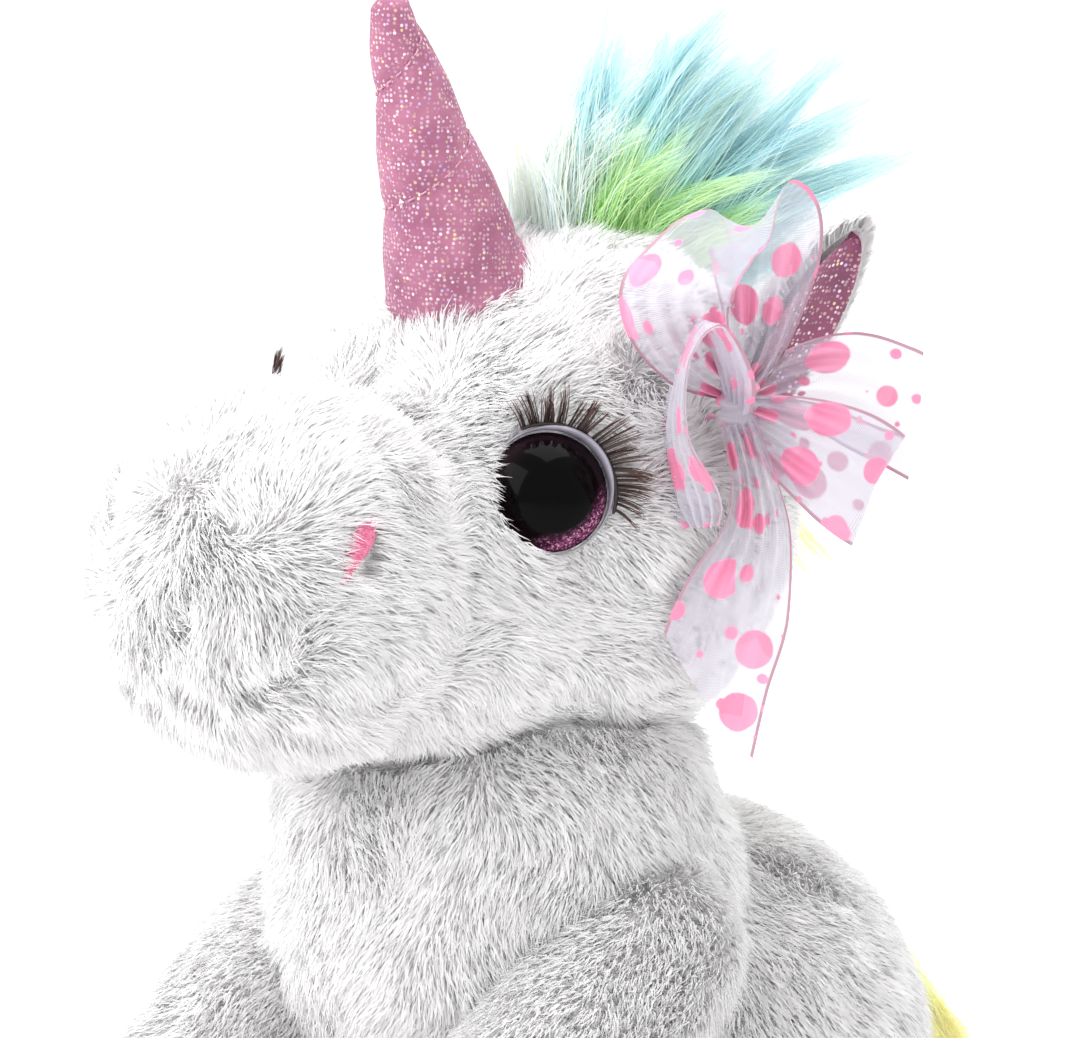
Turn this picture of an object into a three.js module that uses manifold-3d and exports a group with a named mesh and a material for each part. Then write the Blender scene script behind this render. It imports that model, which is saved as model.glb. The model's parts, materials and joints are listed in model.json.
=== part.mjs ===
// Sitting plush unicorn, in millimetres, +Z up. It faces -Y and its own left side is +X.
import * as THREE from 'three';
import { mergeVertices } from 'three/addons/utils/BufferGeometryUtils.js';
import Module from 'manifold-3d';

const wasm = await Module();
wasm.setup();

// ---- driving sizes ----
const headRadius = 51; // the round of the head, about which it turns and nods on the neck
const headHeight = 166; // middle of the head above the floor
const crownRise = 6; // how much higher the crown sits than a plain ball
const crownBack = 9; // and how far behind its middle
const muzzleRadius = 36.5;
const muzzleForward = 69;
const muzzleDrop = 9;
const headSkin = 4; // plush cloth with its dense pile
const bodySkin = 3;
const stuffingGap = 1.2; // stuffing to the inside of a skin
const pieceGap = 0.3; // between pieces that are sewn or pressed together
const neckGap = 0.9; // head skin to the cup of the neck
const limbGap = 3.6; // legs to the body, wherever they swing
const rumpRadius = 50;
const rumpBack = 56;
const rumpMiddle = 47; // height of the rump's middle; its weight flattens the seat
const neckRadius = 43;
const eyeRadius = 11.8;
const eyeHeight = 7.6;
const eyeAround = 48; // degrees round from straight ahead
const eyeUp = 11;
const eyeSink = 1.7; // seat of the eye below the top of the pile
const hornLength = 62;
const hornBase = 14.7;
const hornTip = 3.4;
const hornLean = 23; // degrees forward
const hornForward = 21;
const hornCloth = 1.4;
const earLength = 39;
const earWidth = 25;
const earThick = 4.4;
const hairThick = 15;
const hairLength = 52;
const ribbonWidth = 24;
const ribbonThick = 0.5;
const bowAround = 42; // the way the bow faces, degrees round from straight ahead
const foreLeg = { x: 38, y: 0, z: 82, radius: 20, length: 99, out: 0.07, forward: 0.77, down: 0.63 };
const hindLeg = { x: 51, y: 46, z: 27, radius: 21, length: 82, out: 0.45, forward: 0.87, down: 0.05 };
const hoofLength = 22;
const hoofCloth = 1.2;
const neckCore = 12; // radius of the firm stuffing that passes through the neck seam
const headTurn = 20; // degrees each way
const headNod = 10;
const foreSwing = [-12, 35];
const hindSwing = [-6, 30];

// ---- small helpers ----
const V = (x, y, z) => new THREE.Vector3(x, y, z);
const rad = THREE.MathUtils.degToRad;
const headMiddle = V(0, 0, headHeight);

function ellipsoid(centre, sizes) {
  return (p) => {
    const x = (p.x - centre.x) / sizes[0];
    const y = (p.y - centre.y) / sizes[1];
    const z = (p.z - centre.z) / sizes[2];
    const near = Math.hypot(x, y, z);
    const slope = Math.hypot(x / sizes[0], y / sizes[1], z / sizes[2]);
    return slope < 1e-9 ? -Math.min(...sizes) : near * (near - 1) / slope;
  };
}

function capsule(from, to, radius) {
  const along = to.clone().sub(from);
  return (p) => {
    const step = p.clone().sub(from);
    const t = THREE.MathUtils.clamp(step.dot(along) / along.lengthSq(), 0, 1);
    return step.addScaledVector(along, -t).length() - radius;
  };
}

function blended(shapes, softness) {
  return (p) => -softness * Math.log(shapes.reduce((sum, d) => sum + Math.exp(-d(p) / softness), 0));
}

// the way a shape's surface faces
function slopeOf(shape, p) {
  const rise = (step) => shape(p.clone().add(step)) - shape(p.clone().sub(step));
  return V(rise(V(0.5, 0, 0)), rise(V(0, 0.5, 0)), rise(V(0, 0, 0.5))).normalize();
}

// the same shape, swung about a line through the pivot
function swung(shape, pivot, axis, degrees) {
  const back = new THREE.Quaternion().setFromAxisAngle(axis, -rad(degrees));
  return (p) => shape(p.clone().sub(pivot).applyQuaternion(back).add(pivot));
}

function steps(from, to, count) {
  return Array.from({ length: count }, (_, i) => from + (to - from) * i / (count - 1));
}

// first place along a line from the middle where the shape ends
function reach(shape, middle, direction) {
  const stride = 3;
  let far = stride;
  while (shape(middle.clone().addScaledVector(direction, far)) < 0 && far < 300) {
    far += stride;
  }
  let near = far - stride;
  for (let i = 0; i < 22; i += 1) {
    const half = (near + far) / 2;
    if (shape(middle.clone().addScaledVector(direction, half)) < 0) {
      near = half;
    } else {
      far = half;
    }
  }
  return near;
}

function blob(shape, middle, detail) {
  const geometry = new THREE.IcosahedronGeometry(1, detail);
  const place = geometry.attributes.position;
  for (let i = 0; i < place.count; i += 1) {
    const direction = V(place.getX(i), place.getY(i), place.getZ(i)).normalize();
    const at = middle.clone().addScaledVector(direction, reach(shape, middle, direction));
    place.setXYZ(i, at.x, at.y, at.z);
  }
  return geometry;
}

function welded(geometry) {
  const plain = geometry.clone();
  plain.deleteAttribute('normal');
  plain.deleteAttribute('uv');
  return mergeVertices(plain, 1e-4);
}

function solid(geometry) {
  const joined = welded(geometry);
  return new wasm.Manifold(new wasm.Mesh({
    numProp: 3,
    vertProperties: Float32Array.from(joined.attributes.position.array),
    triVerts: Uint32Array.from(joined.index.array),
  }));
}

function shapeOf(manifold) {
  const mesh = manifold.getMesh();
  const geometry = new THREE.BufferGeometry();
  const points = new Float32Array(mesh.numVert * 3);
  for (let i = 0; i < mesh.numVert; i += 1) {
    for (let k = 0; k < 3; k += 1) {
      points[3 * i + k] = mesh.vertProperties[mesh.numProp * i + k];
    }
  }
  geometry.setAttribute('position', new THREE.BufferAttribute(points, 3));
  geometry.setIndex(new THREE.BufferAttribute(Uint32Array.from(mesh.triVerts), 1));
  return geometry;
}

// lathe profile points are [radius, height]; the lathe's height becomes the given direction
function turned(profile, around, origin, direction) {
  const points = profile.map(([r, h]) => new THREE.Vector2(r, h));
  const geometry = new THREE.LatheGeometry(points, around);
  geometry.applyQuaternion(new THREE.Quaternion().setFromUnitVectors(V(0, 1, 0), direction));
  return geometry.translate(origin.x, origin.y, origin.z);
}

function arc(centre, radius, from, to, count) {
  return steps(from, to, count).map((a) => [
    Math.max(0, centre[0] + radius * Math.cos(rad(a))), centre[1] + radius * Math.sin(rad(a)),
  ]);
}

function framed(geometry, origin, right, up) {
  const out = right.clone().cross(up);
  return geometry.applyMatrix4(new THREE.Matrix4().makeBasis(right, up, out).setPosition(origin));
}

function cord(points, radius, count, closed) {
  const path = new THREE.CatmullRomCurve3(points, closed);
  const section = new THREE.Shape();
  section.absarc(0, 0, radius, 0, Math.PI * 2, false);
  return new THREE.ExtrudeGeometry(section, { steps: count, curveSegments: 3, extrudePath: path });
}

// a strip of cloth on edge along a line of [x, y] points
function strip(line, thick, width) {
  const side = (sign) => line.map(([x, y], i) => {
    const a = line[Math.max(0, i - 1)];
    const b = line[Math.min(line.length - 1, i + 1)];
    const length = Math.hypot(b[0] - a[0], b[1] - a[1]);
    const shift = sign * thick / 2 / length;
    return new THREE.Vector2(x - (b[1] - a[1]) * shift, y + (b[0] - a[0]) * shift);
  });
  const outline = new THREE.Shape([...side(1), ...side(-1).reverse()]);
  const geometry = new THREE.ExtrudeGeometry(outline, { depth: width, bevelEnabled: false });
  return geometry.translate(0, 0, -width / 2);
}

const skinDetail = 6; // how finely the big skins are faceted
const whole = new THREE.Group();
function add(name, geometry, colour, roughness, metalness = 0) {
  const material = new THREE.MeshStandardMaterial({ color: colour, roughness, metalness });
  const mesh = new THREE.Mesh(geometry, material);
  mesh.name = name;
  whole.add(mesh);
}

const plushWhite = '#f4f2f2';
const stuffingWhite = '#fbfaf6';
const glitterPink = '#c77a9a';
const threadPink = '#e8a9c0';
const ribbonSheer = '#fbe9f0';
const aqua = '#8fd8e6';
const paleYellow = '#f7ecae';
const meadowGreen = '#a8e6a0';

// ---- outlines that several pieces share ----
const muzzleMiddle = V(0, -muzzleForward, headHeight - muzzleDrop);
const headShape = blended([
  ellipsoid(headMiddle, [headRadius, headRadius, headRadius]),
  ellipsoid(headMiddle.clone().add(V(0, crownBack, crownRise)), [headRadius - 4, headRadius - 6, headRadius - 1]),
  ellipsoid(muzzleMiddle, [muzzleRadius, muzzleRadius, muzzleRadius]),
  ellipsoid(V(0, -muzzleForward / 2, headHeight - muzzleDrop - 2), [muzzleRadius + 5, muzzleRadius, muzzleRadius - 1]),
], 2.2);
const headCore = V(0, -muzzleForward * 0.3, headHeight - 6);
const onHead = (x, y, z) => {
  const direction = V(x, y, z).normalize();
  return headMiddle.clone().addScaledVector(direction, reach(headShape, headMiddle, direction));
};

const sides = [['left', 1], ['right', -1]];

function legOf(sizes, side) {
  const root = V(side * sizes.x, sizes.y, sizes.z);
  const direction = V(side * sizes.out, -sizes.forward, -sizes.down).normalize();
  return { root, direction, end: root.clone().addScaledVector(direction, sizes.length) };
}

function sweep(sizes, side, swing) {
  const { root, end } = legOf(sizes, side);
  const limb = capsule(root, end, sizes.radius);
  return steps(swing[0], swing[1], 6).map((a) => swung(limb, root, V(-1, 0, 0), a));
}

const headSweep = steps(-headTurn, headTurn, 5).flatMap((turn) => steps(-headNod, headNod, 3).map(
  (nod) => swung(swung(headShape, headMiddle, V(1, 0, 0), nod), headMiddle, V(0, 0, 1), turn),
));
const limbSweep = sides.flatMap(([, side]) => [
  ...sweep(foreLeg, side, foreSwing), ...sweep(hindLeg, side, hindSwing),
]);
const closest = (shapes, p) => shapes.reduce((least, shape) => Math.min(least, shape(p)), 1e9);
const headRoom = (p) => closest(headSweep, p) - neckGap;
const limbRoom = (p) => closest(limbSweep, p) - limbGap;

const torso = blended([
  ellipsoid(V(0, rumpBack, rumpMiddle), [rumpRadius, rumpRadius, rumpMiddle + 7]),
  ellipsoid(V(0, -2, 84), [neckRadius + 1, neckRadius + 1, 46]),
  ellipsoid(V(0, -6, 110), [neckRadius, neckRadius - 1, 34]),
  ellipsoid(V(0, 14, 92), [38, 34, 28]),
  ellipsoid(V(0, 20, 44), [44, 44, 46]),
], 3);
const bodyShape = (p) => Math.max(torso(p), -p.z, -headRoom(p), -limbRoom(p));
const bodyCore = V(0, 12, 62);
const onBody = (x, y, z, above) => {
  const direction = V(x, y, z).normalize();
  return bodyCore.clone().addScaledVector(direction, reach(bodyShape, bodyCore, direction) + above);
};

// ---- body: plush skin open at the neck, stuffing, and a bag of pellets in the seat ----
const neckBottom = headHeight - headRadius - 26;
const neckTop = headHeight - 24;
const coreRod = (radius, low, high) => new THREE.CylinderGeometry(radius, radius, high - low, 24)
  .rotateX(Math.PI / 2).translate(0, 0, (low + high) / 2);
const neckHole = solid(coreRod(neckCore + pieceGap, neckBottom - pieceGap, neckTop + 20));
const bodyInner = (p) => bodyShape(p) + bodySkin;
add('body_skin', shapeOf(solid(blob(bodyShape, bodyCore, skinDetail))
  .subtract(solid(blob(bodyInner, bodyCore, skinDetail))).subtract(neckHole)), plushWhite, 0.95);

const pelletMiddle = V(0, 36, bodySkin + 13);
const pelletPillow = ellipsoid(pelletMiddle, [27, 30, 11]);
const bagRoom = solid(blob((p) => bodyInner(p) + stuffingGap, bodyCore, skinDetail));
add('pellet_bag', shapeOf(solid(blob(pelletPillow, pelletMiddle, 3)).intersect(bagRoom)), '#dcd8cf', 0.9);
const bodyFill = (p) => Math.max(bodyInner(p) + stuffingGap, 3.4 - pelletPillow(p));
add('body_stuffing', shapeOf(solid(blob(bodyFill, bodyCore, skinDetail)).subtract(neckHole)), stuffingWhite, 1);

// ---- neck: firm plug of stuffing through the seam, and the thread drawn round it ----
add('neck_core', turned([
  [0, neckBottom], [neckCore - 2, neckBottom], [neckCore, neckBottom + 3],
  [neckCore, neckTop - 4], [neckCore - 3, neckTop], [0, neckTop],
], 24, V(0, 0, 0), V(0, 0, 1)), stuffingWhite, 1);

const threadRadius = 0.7;
const seamPoints = steps(0, 350, 36).map((around) => {
  const level = V(Math.sin(rad(around)), -Math.cos(rad(around)), 0);
  let best = null;
  for (let down = 20; down < 70 && !best; down += 0.25) {
    const way = level.clone().multiplyScalar(Math.cos(rad(down))).add(V(0, 0, -Math.sin(rad(down))));
    let far = headRadius;
    while (headRoom(headMiddle.clone().addScaledVector(way, far)) < threadRadius + pieceGap) {
      far += 0.2;
    }
    const at = headMiddle.clone().addScaledVector(way, far);
    if (torso(at) < threadRadius + 2 * pieceGap + 0.4) {
      best = at;
    }
  }
  return best;
}).filter((at) => at);
add('neck_seam_thread', cord(seamPoints, threadRadius, 40, true), '#f0ecec', 0.8);

const stitchRows = steps(52, 24, 13);
add('closing_seam', cord(stitchRows.map((lift, i) => onBody(
  i % 2 ? 0.035 : -0.035, Math.cos(rad(lift)), Math.sin(rad(lift)), 1.5,
)), 0.45, 24, false), '#efeaea', 0.8);

const labelSeam = onBody(-0.55, 0.8, -0.2, 0);
const labelOut = slopeOf(bodyShape, labelSeam);
const labelFoot = labelSeam.addScaledVector(labelOut, 2 * pieceGap);
const labelSide = V(0, 0, 1).cross(labelOut).normalize();
add('care_label', framed(
  new THREE.BoxGeometry(9, 0.8, 14).translate(0, 0, 7), labelFoot, labelSide, labelOut.clone().cross(labelSide),
), '#fafafa', 0.6);

// ---- head: plush skin, stuffing, pierced for the eye posts and open at the neck ----
const eyeLift = rad(eyeUp);
function eyeFrame(side) {
  const out = V(
    side * Math.sin(rad(eyeAround)) * Math.cos(eyeLift), -Math.cos(rad(eyeAround)) * Math.cos(eyeLift),
    Math.sin(eyeLift),
  );
  const at = onHead(out.x, out.y, out.z);
  const facing = slopeOf(headShape, at).add(out).normalize();
  return { out: facing, seat: at.addScaledVector(facing, -eyeSink) };
}
const rimWidth = 2.2;
const postRadius = 2.4;
const postLength = 15;
const washerRadius = 8;
const neckFlare = Math.tan(rad(headNod));
const nodRoom = (z) => neckCore + (headHeight - z) * neckFlare + 1;
const neckMouth = solid(new THREE.CylinderGeometry(
  nodRoom(neckTop + 2), nodRoom(neckBottom), neckTop + 2 - neckBottom, 28,
).rotateX(Math.PI / 2).translate(0, 0, (neckTop + 2 + neckBottom) / 2));

let headCover = solid(blob(headShape, headCore, skinDetail))
  .subtract(solid(blob((p) => headShape(p) + headSkin, headCore, skinDetail))).subtract(neckMouth);
let headFill = solid(blob((p) => headShape(p) + headSkin + 2 * stuffingGap, headCore, skinDetail - 2))
  .subtract(neckMouth);
for (const [, side] of sides) {
  const { out, seat } = eyeFrame(side);
  const socket = eyeRadius + rimWidth + 2 * pieceGap;
  headCover = headCover
    .subtract(solid(turned([[0, -pieceGap], [socket, -pieceGap], [socket, 12], [0, 12]], 20, seat, out)))
    .subtract(solid(turned([
      [0, -12], [postRadius + pieceGap, -12], [postRadius + pieceGap, 1], [0, 1],
    ], 12, seat, out)));
  headFill = headFill.subtract(solid(turned([
    [0, -postLength - 1], [washerRadius + 1, -postLength - 1], [washerRadius + 1, -1.5],
    [socket, -1.5], [socket, 12], [0, 12],
  ], 16, seat, out)));
}
add('head_skin', shapeOf(headCover), plushWhite, 0.95);
add('head_stuffing', shapeOf(headFill), stuffingWhite, 1);

// ---- eyes: moulded dome with post, pressed washer, grey rim, and a strip of lashes ----
for (const [name, side] of sides) {
  const { out, seat } = eyeFrame(side);
  const domeRound = (eyeRadius ** 2 + eyeHeight ** 2) / (2 * eyeHeight);
  const domeEdge = rad(90) - Math.asin(eyeRadius / domeRound);
  const dome = arc([0, eyeHeight - domeRound + 1.2], domeRound, domeEdge * 180 / Math.PI, 90, 6);
  dome[dome.length - 1][0] = 0;
  add(`eye_${name}`, turned([
    [0, -postLength], [postRadius - 0.6, -postLength], [postRadius, -postLength + 1.2],
    [postRadius, 0], [eyeRadius, 0], ...dome,
  ], 20, seat, out), '#140b12', 0.05);
  const rimInner = eyeRadius + pieceGap;
  const rimOuter = eyeRadius + rimWidth;
  add(`eye_rim_${name}`, turned([
    [rimInner, 0], [rimOuter, 0], [rimOuter, 2.2], [rimOuter - 0.8, 4], [rimInner, 3.8], [rimInner, 0],
  ], 20, seat, out), '#b9b6bf', 0.35);
  const washerTop = -(headSkin - eyeSink) - pieceGap - 0.4;
  add(`eye_washer_${name}`, turned([
    [postRadius + 0.2, washerTop - 1.8], [washerRadius, washerTop - 1.8], [washerRadius, washerTop - 0.6],
    [postRadius + 0.2, washerTop], [postRadius + 0.2, washerTop - 1.8],
  ], 16, seat, out), '#e9e9e6', 0.5);

  // lashes stand on the upper and outer edge of the rim
  const lashes = 13;
  const bandInner = rimOuter - 1.7;
  const bandOuter = rimOuter + 0.2;
  const lashLength = 8.5;
  const outline = [];
  const polar = (r, a) => new THREE.Vector2(side * r * Math.cos(rad(a)), r * Math.sin(rad(a)));
  const [lashFrom, lashTo] = [-12, 112];
  steps(lashFrom, lashTo, 12).forEach((a) => outline.push(polar(bandInner, a)));
  const slot = (lashTo - lashFrom) / lashes;
  for (let i = lashes - 1; i >= 0; i -= 1) {
    const a = lashFrom + slot * i;
    const longer = lashLength * (0.75 + 0.25 * Math.sin(Math.PI * (i + 0.5) / lashes));
    outline.push(polar(bandOuter, a + slot * 0.98));
    outline.push(polar(bandOuter, a + slot * 0.7));
    outline.push(polar(bandOuter + longer, a + slot * 0.42));
    outline.push(polar(bandOuter, a + slot * 0.25));
  }
  const comb = new THREE.ExtrudeGeometry(new THREE.Shape(outline), { depth: 0.6, bevelEnabled: false });
  const up = V(0, 0, 1).addScaledVector(out, -out.z).normalize();
  add(`lash_strip_${name}`, framed(
    comb.translate(0, 0, 4 + pieceGap), seat, up.clone().cross(out).normalize(), up,
  ), '#2b1712', 0.5);
}

// ---- nostrils and mouth: thread worked on the muzzle ----
const headSolid = (offset) => solid(blob((p) => headShape(p) - offset, headCore, skinDetail));
const headKeepOut = headSolid(pieceGap);
for (const [name, side] of sides) {
  const way = V(side * 0.9, -0.36, 0.27).normalize();
  const at = muzzleMiddle.clone().addScaledVector(way, reach(headShape, muzzleMiddle, way));
  const pad = new THREE.SphereGeometry(1, 12, 8);
  pad.scale(4.6, 7.4, 2.2);
  const up = V(side * 0.1, 0.55, 0.83).addScaledVector(way, -V(side * 0.1, 0.55, 0.83).dot(way)).normalize();
  framed(pad, at, up.clone().cross(way), up);
  add(`nostril_${name}`, shapeOf(solid(pad).subtract(headKeepOut)), '#ea7fa2', 0.6);
}
const smile = steps(-48, 48, 13).map((turn) => {
  const lift = rad(-36 + 15 * (turn / 48) ** 2);
  const way = V(Math.sin(rad(turn)) * Math.cos(lift), -Math.cos(rad(turn)) * Math.cos(lift), Math.sin(lift));
  return muzzleMiddle.clone().addScaledVector(way, reach(headShape, muzzleMiddle, way) + 1);
});
add('mouth_thread', cord(smile, 0.5, 18, false), '#e6dede', 0.8);

// ---- horn: glitter cloth sewn to a cone, stuffed, with a thread wound round it ----
const hornWay = V(0, -Math.sin(rad(hornLean)), Math.cos(rad(hornLean)));
const hornFoot = onHead(0, -hornForward, headRadius - 7);
const hornSunk = 7;
const hornAt = (h) => hornBase + (hornTip - hornBase) * Math.max(0, h) / (hornLength - hornTip);
const hornSide = steps(-hornSunk, hornLength - hornTip, 13);
const spiralTurns = 2.6;
function hornOuter(h) {
  return hornAt(h) + 0.6 * Math.sin(Math.PI * Math.max(0, h) / hornLength);
}
const hornProfile = [
  ...hornSide.map((h) => [hornOuter(h), h]),
  ...arc([0, hornLength - hornTip], hornTip, 30, 90, 3).map(([r, h], i) => (i === 2 ? [0, h] : [r, h])),
];
const hollowTop = hornLength - hornTip - hornCloth;
const hollowSide = hornSide.slice(0, 11).filter((_, i) => i % 2 === 0);
const hornHollow = [
  [0, hollowTop], ...hollowSide.toReversed().map((h) => [hornOuter(h) - hornCloth, h]),
];
const hornShell = solid(turned([...hornHollow, ...hornProfile], 24, hornFoot, hornWay));
add('horn_cover', shapeOf(hornShell.subtract(headKeepOut)), glitterPink, 0.45, 0.2);
const fillGap = hornCloth + pieceGap + 0.3;
const hornFill = [
  [0, -hornSunk], ...hollowSide.map((h) => [hornOuter(h) - fillGap, h]), [0, hollowTop - 2],
];
add('horn_stuffing', shapeOf(solid(turned(hornFill, 12, hornFoot, hornWay)).subtract(headKeepOut)),
  stuffingWhite, 1);
const hornRight = V(1, 0, 0);
const hornFront = hornWay.clone().cross(hornRight);
const wound = steps(0, 1, 44).map((t) => {
  const turn = rad(-150 + 360 * spiralTurns * t);
  const h = 10 + (hornLength - 20) * t;
  const off = hornOuter(h) + 0.6 + pieceGap;
  return hornFoot.clone().addScaledVector(hornWay, h)
    .addScaledVector(hornRight, off * Math.cos(turn)).addScaledVector(hornFront, off * Math.sin(turn));
});
add('horn_thread', cord(wound, 0.45, 52, false), threadPink, 0.7);

// ---- ears: plush back and glitter lining, sewn to the head along a short root ----
const earRootWidth = 15;
function leaf(inset) {
  const half = earWidth / 2 - inset;
  const root = earRootWidth / 2 - inset;
  const shape = new THREE.Shape();
  shape.moveTo(-root, inset);
  shape.lineTo(root, inset);
  shape.quadraticCurveTo(half + 1.5, earLength * 0.3, half * 0.78, earLength * 0.66);
  shape.quadraticCurveTo(half * 0.5, earLength - inset, 0, earLength - inset);
  shape.quadraticCurveTo(-half * 0.5, earLength - inset, -half * 0.78, earLength * 0.66);
  shape.quadraticCurveTo(-half - 1.5, earLength * 0.3, -root, inset);
  return shape;
}
const earClear = 3.4;
for (const [name, side] of sides) {
  const up = V(side * 0.43, 0.21, 0.88).normalize();
  const face = V(side * 0.93, 0.05, -0.3);
  face.addScaledVector(up, -face.dot(up)).normalize();
  const across = up.clone().cross(face);
  const root = onHead(side * 38, 20, 25);
  root.addScaledVector(up, earClear);
  const back = new THREE.ExtrudeGeometry(leaf(1), {
    depth: earThick - 2, bevelThickness: 1, bevelSize: 1, bevelSegments: 1, curveSegments: 5,
  });
  add(`ear_back_${name}`, framed(back.translate(0, -1, -earThick / 2), root, across, up),
    plushWhite, 0.95);
  const lining = new THREE.ExtrudeGeometry(leaf(2.2), {
    depth: 0.6, bevelThickness: 0.4, bevelSize: 0.4, bevelSegments: 1, curveSegments: 5,
  });
  add(`ear_lining_${name}`, framed(
    lining.translate(0, 0, earThick / 2 + pieceGap + 0.4 - 1), root, across, up,
  ), '#a85a7c', 0.45, 0.2);
}

// ---- mane: strips of long coloured pile along the crest, from the horn down the nape ----
function maneStrip(name, from, to, length, lean, teeth, colour) {
  const outline = [];
  const spot = (beta, above) => {
    const way = V(0, Math.sin(rad(beta)), Math.cos(rad(beta)));
    const at = headMiddle.clone().addScaledVector(way, reach(headShape, headMiddle, way) + above);
    return new THREE.Vector2(at.y, at.z);
  };
  steps(from, to, 6).forEach((beta) => outline.push(spot(beta, 0.7)));
  for (let i = teeth - 1; i >= 0; i -= 1) {
    const beta = from + (to - from) * (i + 0.5) / teeth;
    const wide = (to - from) / teeth;
    outline.push(spot(beta + wide * 0.5 + lean * 0.35, length * 0.45));
    outline.push(spot(beta + wide * 0.35 + lean, length * (i % 2 ? 0.9 : 1)));
    outline.push(spot(beta + wide * 0.1 + lean * 0.7, length * 0.62));
  }
  outline.push(spot(from + lean * 0.1, length * 0.3));
  const geometry = new THREE.ExtrudeGeometry(new THREE.Shape(outline), {
    depth: hairThick, bevelEnabled: false,
  });
  geometry.translate(0, 0, -hairThick / 2);
  add(name, framed(geometry, V(0, 0, 0), V(0, 1, 0), V(0, 0, 1)), colour, 0.8);
}
maneStrip('mane_forelock', 5, 22, hairLength * 0.85, 8, 3, aqua);
maneStrip('mane_crown', 32, 56, hairLength, 9, 4, meadowGreen);
maneStrip('mane_nape', 67, 100, hairLength * 0.6, 7, 4, paleYellow);

// ---- bow: knotted sheer ribbon in front of the left ear ----
const bowRight = V(Math.cos(rad(bowAround)), Math.sin(rad(bowAround)), 0);
const bowOut = V(Math.sin(rad(bowAround)), -Math.cos(rad(bowAround)), 0);
const upright = V(0, 0, 1);
const bowWay = (right, out, up) => V(0, 0, 0)
  .addScaledVector(bowRight, right).addScaledVector(bowOut, out).addScaledVector(upright, up);
const knotSize = 5;
const knotLift = 10.8; // above the skin, on the gathered ends of the ribbon
const knotWay = bowWay(42, 38, 27).normalize();
const skinAt = onHead(knotWay.x, knotWay.y, knotWay.z);
const knotAt = skinAt.clone().addScaledVector(knotWay, knotLift);
const bowSpot = (right, out, up) => knotAt.clone().add(bowWay(right, out, up));
const knot = new THREE.SphereGeometry(1, 14, 9).scale(knotSize, knotSize + 1, knotSize);
add('bow_knot', framed(knot, knotAt, bowRight, upright), ribbonSheer, 0.5);

function teardrop(length, half, count) {
  return steps(12, 348, count).map((a) => {
    const t = (1 - Math.cos(rad(a))) / 2;
    return [half * Math.sin(rad(a)) * Math.sqrt(t), length * t];
  });
}
add('bow_upper_loop', framed(
  strip(teardrop(31, 8, 21), ribbonThick, ribbonWidth),
  bowSpot(-2, 3, 7.5), bowOut, upright,
), ribbonSheer, 0.5);
add('bow_front_loop', framed(
  strip(teardrop(40, 7.5, 21), ribbonThick, ribbonWidth * 0.75),
  bowSpot(-6, 19.5, 17), bowRight, upright.clone().negate(),
), ribbonSheer, 0.5);
add('bow_side_loop', framed(
  strip(teardrop(24, 6, 17), ribbonThick, ribbonWidth * 0.8),
  bowSpot(6.5, 6, -6), bowOut, bowRight,
), ribbonSheer, 0.5);
function flatCloth(outline) {
  const shape = new THREE.Shape(outline.map(([x, y]) => new THREE.Vector2(x, y)));
  return new THREE.ExtrudeGeometry(shape, { depth: ribbonThick, bevelEnabled: false });
}
add('bow_side_tail', framed(
  flatCloth([[0, -3], [36, -21], [38, -6], [34, 10], [18, 7], [0, 3]]),
  bowSpot(6, -3.5, 0), bowRight, upright,
), ribbonSheer, 0.5);
// gathered narrow beside the front loop, so that it swings out past it
const tailHang = bowSpot(-0.5, 6, -7);
add('bow_hanging_tail', framed(
  flatCloth([[-3, 0], [0.8, -5], [1, -18], [-6, -27], [-11, -42], [-12, -52], [-3.5, -68], [4, -54],
    [7.5, -40], [11.5, -22], [9, -14], [4.5, -6], [3.5, 0]]),
  tailHang, bowRight, upright,
), ribbonSheer, 0.5);
const knotBack = knotAt.clone().addScaledVector(knotWay, -knotSize - pieceGap - 0.8);
add('bow_stitch', cord([
  skinAt.addScaledVector(knotWay, pieceGap + 0.4), skinAt.clone().lerp(knotBack, 0.5).add(V(0, 0, 0.5)), knotBack,
], 0.6, 8, false), threadPink, 0.7);

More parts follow.
